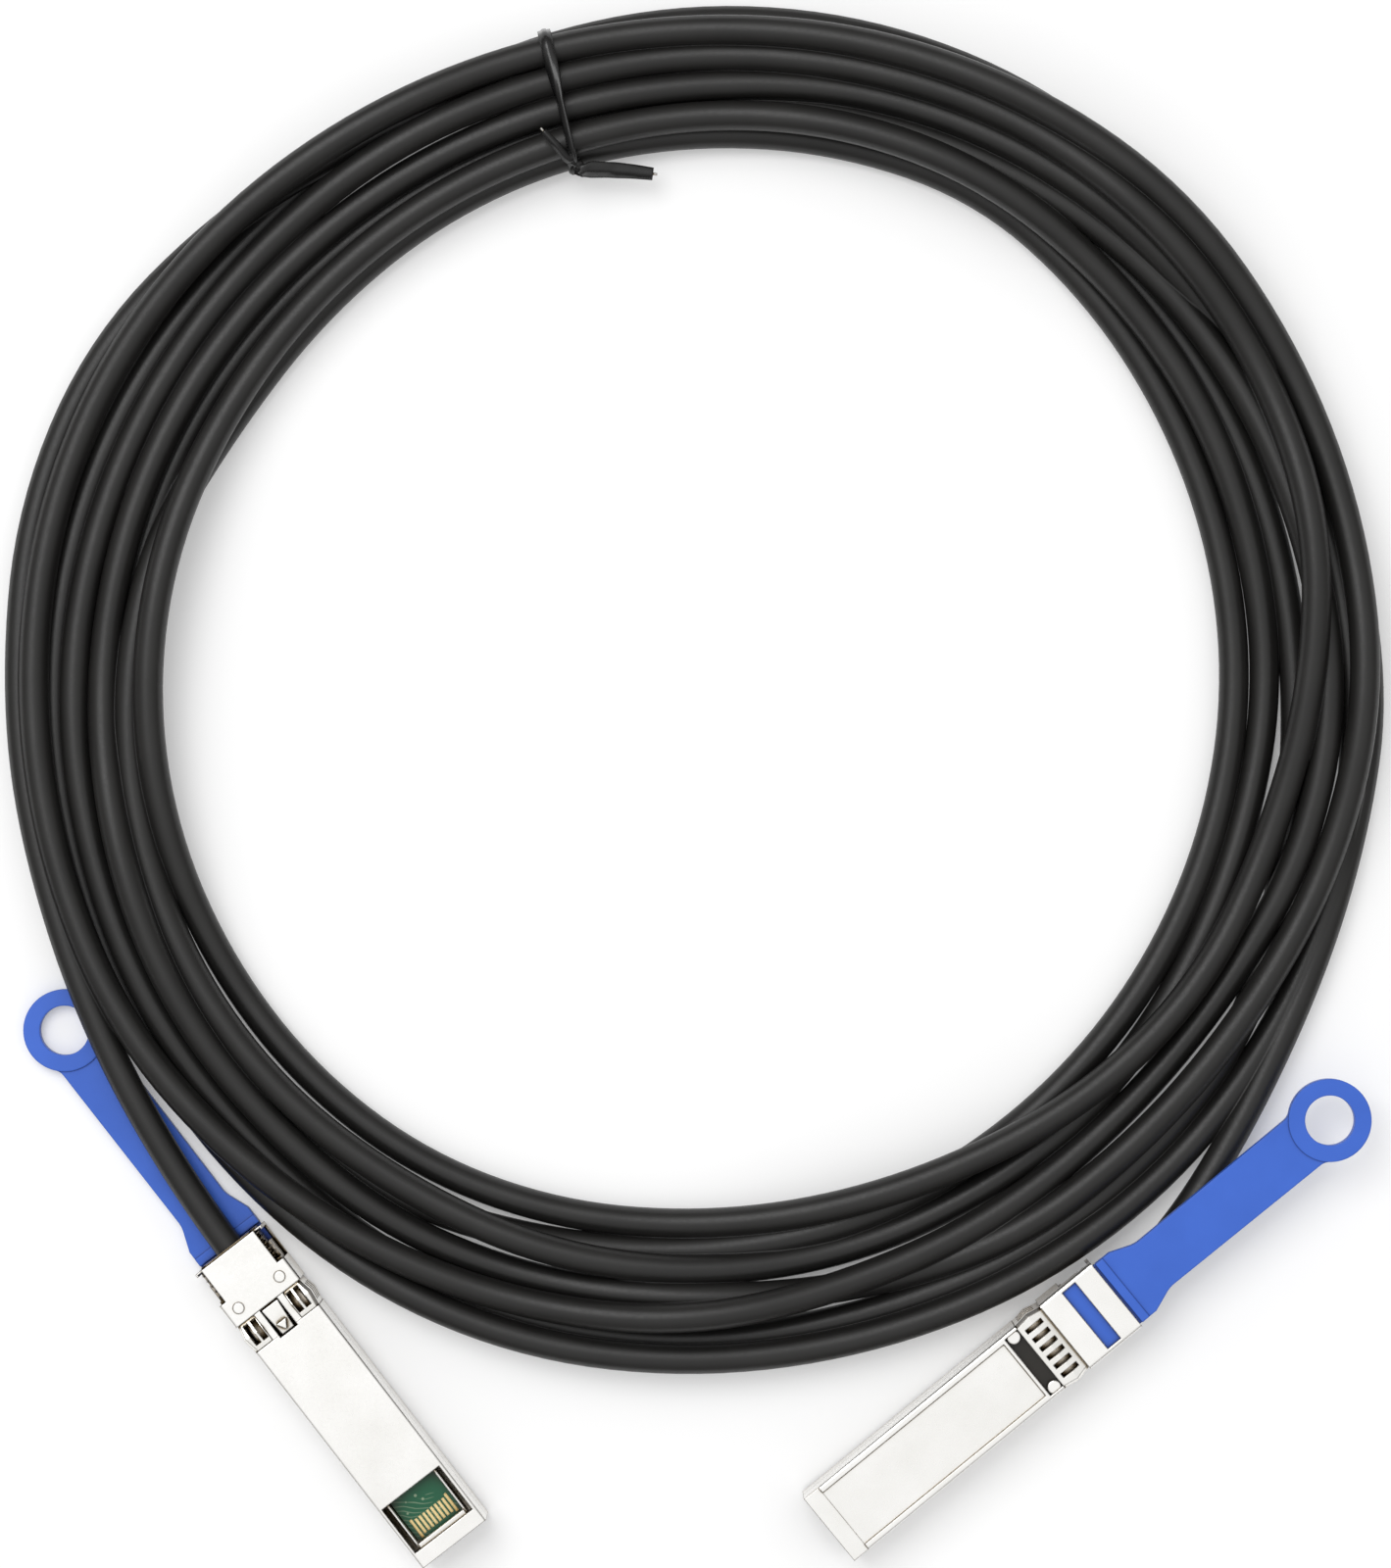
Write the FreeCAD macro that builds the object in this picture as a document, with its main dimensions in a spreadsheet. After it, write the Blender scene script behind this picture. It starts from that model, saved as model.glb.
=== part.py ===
"""Direct attach copper cable: a wound twinax cable with a latching plug at each end.

Millimetres.  The row's origin is the centre of the coil on the surface it lies on, +Z up.
Each plug is drawn in a frame of its own: X runs from the nose to the cable, Y across, and Z
from the latch side (0) to the face side.  A placement then lays the plug beside the coil.
"""

import FreeCAD, Part
import math
import os
import re

import Sketcher

# ---------------------------------------------------------------------------------------
# Driving sizes, millimetres and degrees
# ---------------------------------------------------------------------------------------
SIZES = {
    # housing
    "plug_length": 62.0,
    "shell_width": 13.4,
    "shell_height": 8.5,
    "side_wall": 0.7,
    "floor_thickness": 1.0,
    "roof_thickness": 1.0,
    "nose_bar_length": 2.8,
    "nose_ledge_length": 0.9,
    "nose_ledge_step": 0.3,
    "contact_window_length": 11.9,
    "guide_rail_gap": 0.1,
    "guide_rail_thickness": 0.35,
    "nose_band_length": 3.1,
    "nose_band_step": 0.2,
    "nose_corner_radius": 0.5,
    "face_recess_depth": 0.15,
    "face_recess_margin": 1.2,
    "face_recess_setback": 0.6,
    "band_reach": 19.4,
    "band_length": 2.7,
    "fit_gap": 0.05,
    # shield collar
    "collar_sheet": 0.25,
    "collar_front_inset": 0.1,
    "collar_bulge": 0.4,
    "collar_crest": 2.7,
    "collar_finger_length": 5.1,
    "collar_tail_length": 1.6,
    "collar_corner": 0.5,
    "finger_slot_width": 0.8,
    "finger_slot_length": 3.3,
    "finger_slot_lead": 0.9,
    "finger_relief": 0.8,
    "face_slot_pitch": 1.86,
    "face_slot_count": 6,
    "side_slot_pitch": 1.9,
    "side_slot_count": 3,
    "latch_side_slot_width": 1.0,
    "latch_side_slot_length": 3.9,
    "latch_side_slot_start": 3.75,
    "latch_side_slot_pitch": 1.5,
    "latch_side_slot_count": 2,
    # rear sleeve
    "sleeve_overhang": 0.25,
    "sleeve_sheet": 0.3,
    "sleeve_reach": 11.4,
    "sleeve_setback": 0.3,
    "sleeve_window_reach": 7.1,
    "sleeve_window_length": 2.8,
    "sleeve_window_frame": 0.825,
    "sleeve_corner_radius": 0.6,
    "side_window_length": 6.0,
    "side_window_depth": 1.4,
    "side_window_frame": 0.6,
    "side_window_top": 6.8,
    "rivet_radius": 0.95,
    "rivet_height": 0.12,
    "rivet_setback": 2.4,
    "rivet_spread": 4.3,
    # release slider and pull tab
    "slider_gap": 0.1,
    "arm_gap": 0.15,
    "arm_thickness": 0.6,
    "slider_sheet": 0.3,
    "slider_reach": 7.2,
    "cam_bar_length": 0.8,
    "cam_bar_height": 0.4,
    "cam_bar_bottom": 1.2,
    "release_travel": 2.5,
    "tab_tongue_thickness": 0.6,
    "tab_tongue_reach": 8.8,
    "tab_side_gap": 0.325,
    "tab_lip_length": 1.5,
    "tab_lip_depth": 1.7,
    "tab_thickness": 1.5,
    "tab_shoulder_length": 3.0,
    "tab_taper_length": 4.2,
    "tab_neck_width": 9.2,
    "tab_neck_end_width": 9.6,
    "tab_shoulder_radius": 5.0,
    "ring_distance": 45.5,
    "ring_radius": 6.9,
    "ring_hole_radius": 4.15,
    "ring_rim": 0.2,
    # release springs
    "spring_radius": 0.65,
    "spring_wire_radius": 0.13,
    "spring_turns": 5,
    "spring_inset": 1.375,
    "spring_height": 1.9,
    "spring_pocket_gap": 0.1,
    # latch
    "latch_pivot_reach": 9.4,
    "latch_pivot_height": 1.1,
    "latch_pin_radius": 0.42,
    "latch_pin_length": 5.8,
    "latch_running_gap": 0.03,
    "latch_hub_radius": 0.74,
    "latch_width": 3.25,
    "latch_tip_width": 2.3,
    "latch_arm_length": 7.5,
    "latch_neck_length": 2.4,
    "latch_bottom": 0.15,
    "latch_top": 1.3,
    "latch_tail_overlap": 3.6,
    "latch_tail_bottom": 0.8,
    "latch_tail_top": 1.15,
    "latch_ramp_lead": 0.2,
    "latch_ramp_rise": 0.36,
    "latch_side_gap": 0.18,
    "latch_channel_top": 2.0,
    "boss_height": 0.45,
    "boss_length": 1.6,
    "boss_width": 2.0,
    "latch_spring_sheet": 0.12,
    "latch_spring_width": 1.6,
    "latch_spring_length": 4.2,
    "latch_spring_setback": 1.36,
    # card
    "card_bottom": 2.25,
    "card_thickness": 1.0,
    "card_setback": 3.5,
    "card_edge_width": 9.2,
    "card_side_gap": 0.5,
    "card_end_reach": 4.2,
    "card_corner_cut": 0.5,
    "contact_pitch": 0.8,
    "contact_width": 0.5,
    "contact_length": 3.6,
    "contact_stagger": 0.7,
    "contact_thickness": 0.04,
    "contact_setback": 0.4,
    "contact_count": 10,
    "chip_length": 4.9,
    "chip_width": 3.9,
    "chip_height": 1.2,
    "chip_reach": 16.4,
    "capacitor_length": 1.0,
    "capacitor_width": 0.5,
    "capacitor_reach": 9.4,
    "capacitor_pitch": 1.9,
    # cable ends inside the plug
    "cable_diameter": 5.0,
    "pair_diameter": 1.6,
    "pair_spread": 0.85,
    "pair_overlap": 5.4,
    "mould_gap": 0.1,
    "mould_length": 7.5,
    "mould_top_gap": 0.1,
    "ferrule_radius": 2.0,
    "ferrule_wall": 0.25,
    "ferrule_gap": 1.0,
    "jacket_reach": 4.8,
    # coil and tie
    "coil_outer_radius": 114.0,
    "coil_inner_radius": 88.0,
    "coil_height": 14.5,
    "coil_edge_radius": 6.0,
    "tie_angle": 102.6,
    "tie_width": 2.0,
    "tie_thickness": 0.6,
    "tie_corner_radius": 5.6,
    "tie_tail_length": 13.0,
    "tie_tail_width": 3.5,
    "tie_knot_radius": 1.7,
    # where the plugs lie
    "plug_a_nose_x": -40.1,
    "plug_a_nose_y": -142.4,
    "plug_a_heading": 127.7,
    "plug_a_straight": 12.0,
    "plug_b_nose_x": 22.2,
    "plug_b_nose_y": -140.0,
    "plug_b_heading": 39.3,
    "plug_b_straight": 8.0,
}

SPRING_STEPS = 8    # straight steps in each turn of a spring
CORNER_SHARE = 2 - math.sqrt(2)    # how much a 45 degree corner shrinks for each unit of sheet

# The route of each free end from its plug to the coil, millimetres: chosen by hand.
TAIL_A = [(-100.8, -55.8, 5.4), (-110.6, -25.5, 4.6), (-113.8, 0.0, 3.4)]
TAIL_B = [(90.1, -75.6, 3.4), (103.2, -48.1, 2.6), (110.6, -23.5, 2.5)]

doc = FreeCAD.newDocument("direct_attach_cable")
sheet = doc.addObject("Spreadsheet::Sheet", "Sizes")
for row, (alias, size) in enumerate(SIZES.items(), start=1):
    sheet.set(f"A{row}", alias.replace("_", " "))
    sheet.set(f"B{row}", str(size))
    sheet.setAlias(f"B{row}", alias)
doc.recompute()

# Sizes that follow from the driving ones, as expressions over the sheet.
DERIVED = {
    "seam": "shell_height / 2",
    # stations along the plug, which keep their distance from its rear end
    "band_start": "(plug_length - band_reach)",
    "face_recess_end": "(band_start - face_recess_setback)",
    "collar_start": "(band_start + band_length)",
    "collar_bend": "(collar_start + collar_finger_length)",
    "collar_end": "(collar_bend + collar_tail_length)",
    "sleeve_start": "(plug_length - sleeve_reach)",
    "sleeve_end": "(plug_length - sleeve_setback)",
    "sleeve_window_start": "(plug_length - sleeve_window_reach)",
    "side_window_end": "(sleeve_end - side_window_frame)",
    "slider_front": "(plug_length - slider_reach)",
    "tab_tongue_front": "(plug_length - tab_tongue_reach)",
    "latch_pivot": "(plug_length - latch_pivot_reach)",
    "latch_tip": "(latch_pivot - latch_arm_length)",
    "latch_neck": "(latch_pivot - latch_neck_length)",
    "latch_tail_end": "(slider_front + latch_tail_overlap)",
    "latch_ramp_start": "(slider_front + cam_bar_length + latch_ramp_lead)",
    "card_end": "(band_start - card_end_reach)",
    "chip_place": "(card_end - chip_reach)",
    "capacitor_place": "(card_end - capacitor_reach)",
    "pair_front": "(card_end - pair_overlap)",
    "mould_front": "(card_end + mould_gap)",
    "ferrule_front": "(mould_end + ferrule_gap)",
    "jacket_front": "(plug_length - jacket_reach)",
    # widths, which follow the shell's
    "inner_half": "(shell_width / 2 - side_wall)",
    "sleeve_width": "(shell_width + sleeve_overhang)",
    "sleeve_window_width": "(sleeve_width - 2 * sleeve_window_frame)",
    "tab_width": "(sleeve_width - 2 * sleeve_sheet - 2 * tab_side_gap)",
    "spring_offset": "(sleeve_width / 2 - spring_inset)",
    "card_width": "(2 * inner_half - 2 * card_side_gap)",
    # heights and half widths
    "under_sleeve": "(sleeve_sheet + fit_gap)",
    "under_collar": "(sleeve_sheet + collar_sheet + 2 * fit_gap)",
    "arm_outer": "(sleeve_width / 2 - sleeve_sheet - arm_gap)",
    "deck": "(shell_height - sleeve_sheet - 2 * slider_gap - tab_tongue_thickness - slider_sheet)",
    "slider_rear": "(sleeve_end - sleeve_sheet - release_travel - arm_gap)",
    "cam_rear": "(slider_front + cam_bar_length + release_travel)",
    "spring_reach": "(spring_radius + spring_wire_radius)",
    "arm_bottom": "(spring_height + spring_reach + spring_pocket_gap)",
    "island_half": "(latch_width / 2 + 1.4)",
    "cable_radius": "(cable_diameter / 2)",
    "mould_end": "(mould_front + mould_length)",
    "card_top": "(card_bottom + card_thickness)",
    "lip_front": "(plug_length + 2 * slider_gap)",
    "ring_place": "(plug_length + ring_distance)",
}


def bound(text):
    """An expression over the sheet, from plain names."""
    before = None
    while text != before:
        before = text
        for name, rule in DERIVED.items():
            text = re.sub(rf"\b{name}\b", rule, text)
    return re.sub(r"[a-z][a-z0-9_]*", lambda word: "Sizes." + word.group(), text)


def value(text):
    """The number that an expression over the sheet gives now."""
    return float(sheet.evalExpression(bound(text)))


# ---------------------------------------------------------------------------------------
# Drawing helpers
# ---------------------------------------------------------------------------------------
def new_body(label, placement):
    body = doc.addObject("PartDesign::Body", label)
    body.Label = label
    body.Placement = placement
    return body


def new_sketch(body, plane, offset="0"):
    """A sketch on one of the body's origin planes, moved along the plane's normal."""
    sketch = body.newObject("Sketcher::SketchObject", f"{body.Label}_sketch")
    origin_plane = next(f for f in body.Origin.OriginFeatures if f.Role == plane)
    sketch.AttachmentSupport = [(origin_plane, "")]
    sketch.MapMode = "FlatFace"
    sketch.setExpression("AttachmentOffset.Base.z", bound(offset))
    return sketch


def pin_point(sketch, geometry, point, place):
    """Holds one point of the sketch at a place given by two expressions."""
    for kind, text in zip(("DistanceX", "DistanceY"), place):
        number = sketch.addConstraint(
            Sketcher.Constraint(kind, -1, 1, geometry, point, value(text)))
        sketch.setExpression(f"Constraints[{number}]", bound(text))


def draw_polygon(sketch, corners):
    first = sketch.GeometryCount
    points = [FreeCAD.Vector(value(x), value(y), 0) for x, y in corners]
    count = len(points)
    for i in range(count):
        sketch.addGeometry(Part.LineSegment(points[i], points[(i + 1) % count]), False)
    for i in range(count):
        following = first + (i + 1) % count
        sketch.addConstraint(Sketcher.Constraint("Coincident", first + i, 2, following, 1))
        pin_point(sketch, first + i, 1, corners[i])


def draw_rectangle(sketch, low_x, high_x, low_y, high_y):
    draw_polygon(sketch, [(low_x, low_y), (high_x, low_y), (high_x, high_y), (low_x, high_y)])


def draw_circle(sketch, centre_x, centre_y, radius):
    centre = FreeCAD.Vector(value(centre_x), value(centre_y), 0)
    circle = sketch.addGeometry(
        Part.Circle(centre, FreeCAD.Vector(0, 0, 1), value(radius)), False)
    pin_point(sketch, circle, 3, (centre_x, centre_y))
    number = sketch.addConstraint(Sketcher.Constraint("Radius", circle, value(radius)))
    sketch.setExpression(f"Constraints[{number}]", bound(radius))


def pad(sketch, length, midplane=False):
    body = sketch.getParentGeoFeatureGroup()
    feature = body.newObject("PartDesign::Pad", f"{body.Label}_pad")
    feature.Profile = sketch
    feature.Midplane = midplane
    feature.setExpression("Length", bound(length))
    return feature


def cut(sketch, length, midplane=False):
    """A pocket along the sketch plane's own normal."""
    body = sketch.getParentGeoFeatureGroup()
    feature = body.newObject("PartDesign::Pocket", f"{body.Label}_pocket")
    feature.Profile = sketch
    feature.Midplane = midplane
    feature.Reversed = not midplane
    feature.setExpression("Length", bound(length))
    return feature


def block(body, x, y, z):
    """A padded rectangle between two limits each way."""
    sketch = new_sketch(body, "XY_Plane", z[0])
    draw_rectangle(sketch, *x, *y)
    return pad(sketch, f"({z[1]}) - ({z[0]})")


def cavity(body, x, y, z):
    """A rectangular pocket between two limits each way."""
    sketch = new_sketch(body, "XY_Plane", z[0])
    draw_rectangle(sketch, *x, *y)
    return cut(sketch, f"({z[1]}) - ({z[0]})")


def round_bore(body, radius, start, end, height="seam"):
    """A round pocket along X on the plug's centreline."""
    sketch = new_sketch(body, "YZ_Plane", start)
    draw_circle(sketch, "0", height, radius)
    return cut(sketch, f"({end}) - ({start})")


def repeat(feature, body, axis_role, length, count):
    """A row of copies of one feature along one of the body's axes."""
    doc.recompute()
    pattern = body.newObject("PartDesign::LinearPattern", f"{body.Label}_row")
    pattern.Originals = [feature]
    axis = next(f for f in body.Origin.OriginFeatures if f.Role == axis_role)
    pattern.Direction = (axis, [""])
    pattern.setExpression("Length", bound(length))
    pattern.setExpression("Occurrences", bound(count))
    body.Tip = pattern
    return pattern


def round_edges(body, radius, wanted):
    """Fillets the edges of the body's tip whose middle and direction the test accepts."""
    doc.recompute()
    tip = body.Tip
    names = []
    for number, edge in enumerate(tip.Shape.Edges, start=1):
        start, end = edge.Vertexes[0].Point, edge.Vertexes[-1].Point
        if wanted((start + end) * 0.5, end - start):
            names.append(f"Edge{number}")
    fillet = body.newObject("PartDesign::Fillet", f"{body.Label}_fillet")
    fillet.Base = (tip, names)
    fillet.setExpression("Radius", bound(radius))
    return fillet


def straight_along(axis, step):
    """True when an edge runs along one axis only."""
    others = [step[i] for i in range(3) if i != axis]
    return abs(step[axis]) > 1e-6 and all(abs(other) < 1e-6 for other in others)


# ---------------------------------------------------------------------------------------
# Housing
# ---------------------------------------------------------------------------------------
def make_shell_base(label, placement):
    """Die-cast lower half: card rails, latch channel, pin holes and half of the cable bore."""
    body = new_body(label, placement)
    side = new_sketch(body, "XZ_Plane")
    draw_polygon(side, [
        ("0", "0"), ("collar_start", "0"), ("collar_start", "under_collar"),
        ("plug_length", "under_collar"), ("plug_length", "seam"), ("0", "seam")])
    pad(side, "shell_width", midplane=True)
    # the island beside the latch stands proud of the collar and the sleeve
    block(body, ("collar_start", "sleeve_start - fit_gap"), ("-island_half", "island_half"),
          ("fit_gap", "seam"))
    block(body, ("sleeve_start - 2 * fit_gap", "latch_tail_end + 0.3"),
          ("-island_half", "island_half"), ("under_sleeve", "seam"))
    trim_rear_sides(body, "0", "seam")
    round_collar_seat(body, "under_collar")
    relieve_fingers(body, "island_half + fit_gap", ("-1", "under_collar + finger_relief"), "seam")
    # room for the card, open to the nose, with the contact window through the floor
    cavity(body, ("-1", "mould_end + fit_gap"), ("-inner_half", "inner_half"),
           ("card_bottom", "seam + 1"))
    rail = "card_width / 2 - 0.6"
    cavity(body, ("-1", "band_start - 1"), (f"-({rail})", rail), ("floor_thickness", "seam"))
    cavity(body, ("nose_bar_length", "contact_window_length"), ("-inner_half", "inner_half"),
           ("-1", "seam"))
    # thin rails beside the card's edge, across the window, and a lower ledge behind the bar
    rail = "card_edge_width / 2 + guide_rail_gap"
    block(body, ("nose_bar_length - fit_gap", "nose_bar_length + nose_ledge_length"),
          (f"-({rail} + fit_gap)", f"{rail} + fit_gap"), ("nose_ledge_step", "floor_thickness"))
    for near, far in ((rail, f"{rail} + guide_rail_thickness"),
                      (f"-({rail} + guide_rail_thickness)", f"-({rail})")):
        block(body, ("nose_bar_length - fit_gap", "contact_window_length + 0.3"), (near, far),
              ("floor_thickness / 2", "card_top"))
    round_bore(body, "ferrule_radius + fit_gap", "mould_end - 0.5", "jacket_front")
    round_bore(body, "cable_radius + fit_gap", "jacket_front - fit_gap", "plug_length + 1")
    # pockets for the return springs, open to the latch side and outwards
    pocket = "spring_offset - spring_reach - spring_pocket_gap"
    for near, far in ((pocket, "shell_width"), ("-shell_width", f"-({pocket})")):
        cavity(body, ("slider_front - arm_gap", "plug_length + 1"), (near, far),
               ("-1", "arm_bottom"))
    # latch channel, cam bar slot and pin holes
    channel = "latch_width / 2 + latch_side_gap"
    cavity(body, ("latch_tip - 0.3", "latch_tail_end + 0.2"), (f"-({channel})", channel),
           ("-1", "latch_channel_top"))
    cavity(body, ("slider_front - arm_gap", "cam_rear + arm_gap"),
           ("-shell_width", "shell_width"),
           ("cam_bar_bottom - slider_gap", "cam_bar_bottom + cam_bar_height + 2 * slider_gap"))
    pin = new_sketch(body, "XZ_Plane")
    draw_circle(pin, "latch_pivot", "latch_pivot_height", "latch_pin_radius + 0.01")
    cut(pin, "latch_pin_length + 2 * fit_gap", midplane=True)
    round_edges(body, "nose_corner_radius",
                lambda middle, step: straight_along(0, step) and middle.z < 1e-6
                and abs(middle.y) > value("inner_half") + 0.1)
    return body


def trim_rear_sides(body, low, high):
    """Steps both sides of a shell half in, for the collar and then for the slider's arms."""
    for start, end, half in (
            ("collar_start", "collar_end + 2 * fit_gap", "sleeve_width / 2 - under_collar"),
            ("collar_end + fit_gap", "plug_length + 1",
             "arm_outer - arm_thickness - arm_gap")):
        for near, far in ((half, "shell_width"), ("-shell_width", f"-({half})")):
            cavity(body, (start, end), (near, far), (f"{low} - 1", f"{high} + 1"))


def round_collar_seat(body, height):
    """Rounds the long corners that the collar's folded corners pass over."""
    round_edges(body, "collar_corner",
                lambda middle, step: straight_along(0, step)
                and abs(middle.z - value(height)) < 1e-6
                and value("collar_start") < middle.x < value("collar_end")
                and abs(middle.y) > value("sleeve_width / 2 - under_collar") - 1e-6)


def relieve_fingers(body, near, depth, side_top):
    """Hollows a shell half under the collar's slotted fingers, so that they can give."""
    reach = ("mould_end + 0.3", "collar_start + finger_slot_lead + finger_slot_length + 0.3")
    side = "sleeve_width / 2 - under_collar - finger_relief"
    for across, height in (((near, "shell_width"), depth),
                           (("-shell_width", f"-({near})"), depth),
                           ((side, "shell_width"), ("-1", side_top)),
                           (("-shell_width", f"-({side})"), ("-1", side_top))):
        cavity(body, reach, across, height)


def make_shell_cover(label, placement):
    """Die-cast upper half: bare face recess, dark band's opening and the tab's deck."""
    body = new_body(label, placement)
    side = new_sketch(body, "XZ_Plane")
    draw_polygon(side, [
        ("0", "seam"), ("plug_length", "seam"), ("plug_length", "deck"),
        ("tab_tongue_front - arm_gap", "deck"),
        ("tab_tongue_front - arm_gap", "shell_height - under_collar"),
        ("collar_start", "shell_height - under_collar"), ("collar_start", "shell_height"),
        ("0", "shell_height")])
    pad(side, "shell_width", midplane=True)
    round_edges(body, "nose_corner_radius",
                lambda middle, step: straight_along(0, step)
                and middle.z > value("shell_height") - 0.01)
    cavity(body, ("-1", "nose_band_length"), ("-shell_width", "shell_width"),
           ("shell_height - nose_band_step", "shell_height + 1"))
    trim_rear_sides(body, "seam", "shell_height")
    round_collar_seat(body, "shell_height - under_collar")
    relieve_fingers(body, "0", ("shell_height - under_collar - finger_relief", "shell_height + 1"),
                    "shell_height")
    recess = "shell_width / 2 - face_recess_margin"
    cavity(body, ("nose_band_length", "face_recess_end"), (f"-({recess})", recess),
           ("shell_height - face_recess_depth", "shell_height + 1"))
    cavity(body, ("-1", "mould_end + fit_gap"), ("-inner_half", "inner_half"),
           ("seam - 1", "shell_height - roof_thickness"))
    cavity(body, ("band_start", "collar_start"), ("-inner_half", "inner_half"),
           ("seam", "shell_height + 1"))
    round_bore(body, "ferrule_radius + fit_gap", "mould_end - 0.5", "jacket_front")
    round_bore(body, "cable_radius + fit_gap", "jacket_front - fit_gap", "plug_length + 1")
    return body


def make_emi_collar(label, placement):
    """Sheet-metal collar whose slotted fingers bow out and press on the cage."""
    body = new_body(label, placement)
    front = "shell_width / 2 - collar_front_inset", "shell_height / 2 - collar_front_inset"
    crest = f"{front[0]} + collar_bulge", f"{front[1]} + collar_bulge"
    tail = "sleeve_width / 2 - under_sleeve", "shell_height / 2 - under_sleeve"
    stations = [("collar_start", front), ("collar_start + collar_crest", crest),
                ("collar_bend", tail), ("collar_end", tail)]

    def section(station, half, inset):
        """An eight-cornered ring section, so that the folded sheet has flat faces."""
        sketch = new_sketch(body, "YZ_Plane", station)
        wide, tall = f"{half[0]} - {inset}", f"{half[1]} - {inset}"
        corner = f"(collar_corner - {CORNER_SHARE} * {inset})"
        corners = []
        for across, up in ((1, 1), (-1, 1), (-1, -1), (1, -1)):
            outer = (f"{across} * ({wide})", f"seam + {up} * ({tall} - {corner})")
            upper = (f"{across} * ({wide} - {corner})", f"seam + {up} * ({tall})")
            corners += [outer, upper] if across * up > 0 else [upper, outer]
        draw_polygon(sketch, corners)
        return sketch

    for kind, inset in (("PartDesign::AdditiveLoft", "0"),
                        ("PartDesign::SubtractiveLoft", "collar_sheet")):
        sections = [section(station, half, inset) for station, half in stations]
        loft = body.newObject(kind, f"{label}_loft")
        loft.Profile = sections[0]
        loft.Sections = sections[1:]
        loft.Ruled = True
        doc.recompute()

    slot_start = "collar_start + finger_slot_lead"
    slot = (slot_start, f"{slot_start} + finger_slot_length")
    half_slot = "finger_slot_width / 2"
    # face side: one slot, repeated across
    first = "-face_slot_pitch * (face_slot_count - 1) / 2"
    repeat(cavity(body, slot, (f"{first} - {half_slot}", f"{first} + {half_slot}"),
                  ("seam", "shell_height + 2")),
           body, "Y_Axis", "face_slot_pitch * (face_slot_count - 1)", "face_slot_count")
    # both sides: one slot, repeated upward, cut right across
    first = "seam - side_slot_pitch * (side_slot_count - 1) / 2"
    repeat(cavity(body, slot, ("-shell_width", "shell_width"),
                  (f"{first} - {half_slot}", f"{first} + {half_slot}")),
           body, "Z_Axis", "side_slot_pitch * (side_slot_count - 1)", "side_slot_count")
    # latch side: two wider slots each side of the latch
    slot = (slot_start, f"{slot_start} + latch_side_slot_length")
    half_slot = "latch_side_slot_width / 2"
    span = "latch_side_slot_pitch * (latch_side_slot_count - 1)"
    for start in ("latch_side_slot_start", f"-latch_side_slot_start - {span}"):
        repeat(cavity(body, slot, (f"{start} - {half_slot}", f"{start} + {half_slot}"),
                      ("-2", "seam")),
               body, "Y_Axis", span, "latch_side_slot_count")
    # the latch side's middle is open for the latch and its island
    gap = "island_half + fit_gap"
    cavity(body, ("collar_start - 1", "collar_end + 1"), (f"-({gap})", gap), ("-2", "seam"))
    return body


def make_rear_sleeve(label, placement):
    """Folded sheet sleeve: the tab's window, a window in each side, and the spring stops."""
    body = new_body(label, placement)
    tube = new_sketch(body, "YZ_Plane", "sleeve_start")
    draw_rectangle(tube, "-sleeve_width / 2", "sleeve_width / 2", "0", "shell_height")
    pad(tube, "sleeve_end - sleeve_start")
    round_edges(body, "sleeve_corner_radius",
                lambda middle, step: straight_along(0, step))
    inside = new_sketch(body, "YZ_Plane", "sleeve_start - 1")
    draw_rectangle(inside, "-sleeve_width / 2 + sleeve_sheet", "sleeve_width / 2 - sleeve_sheet",
                   "sleeve_sheet", "shell_height - sleeve_sheet")
    cut(inside, "sleeve_end - sleeve_start + 2")
    window_end = "sleeve_window_start + sleeve_window_length"
    cavity(body, ("sleeve_window_start", window_end),
           ("-sleeve_window_width / 2", "sleeve_window_width / 2"),
           ("seam", "shell_height + 1"))
    # a side window shows the return spring, and its frame holds the spring's stop
    edge = "sleeve_width / 2 - side_window_depth"
    for near, far in ((edge, "shell_width"), ("-shell_width", f"-({edge})")):
        for end, top in (("side_window_end", "side_window_top"),
                         ("sleeve_end + 1", "spring_height - spring_reach - fit_gap")):
            cavity(body, ("side_window_end - side_window_length", end), (near, far), ("-1", top))
    outer = "sleeve_width / 2 - sleeve_sheet / 2"
    for low, high in (("spring_offset - spring_reach", outer),
                      (f"-({outer})", "-(spring_offset - spring_reach)")):
        block(body, ("sleeve_end - sleeve_sheet", "sleeve_end"), (low, high),
              ("spring_height - spring_reach", "spring_height + spring_reach"))
    return body


def make_sleeve_rivets(label, placement):
    """Two rivet heads on the latch side of the sleeve."""
    heads = []
    for hand, side in (("left", -1), ("right", 1)):
        head = doc.addObject("Part::Cylinder", f"{label}_{hand}")
        head.setExpression("Radius", bound("rivet_radius"))
        head.setExpression("Height", bound("rivet_height"))
        head.setExpression("Placement.Base.x", bound("sleeve_start + rivet_setback"))
        head.setExpression("Placement.Base.y", bound(f"{side} * rivet_spread"))
        head.setExpression("Placement.Base.z", bound("-rivet_height"))
        heads.append(head)
    pair = doc.addObject("Part::Compound", label)
    pair.Label = label
    pair.Links = heads
    pair.Placement = placement
    return pair


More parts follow.
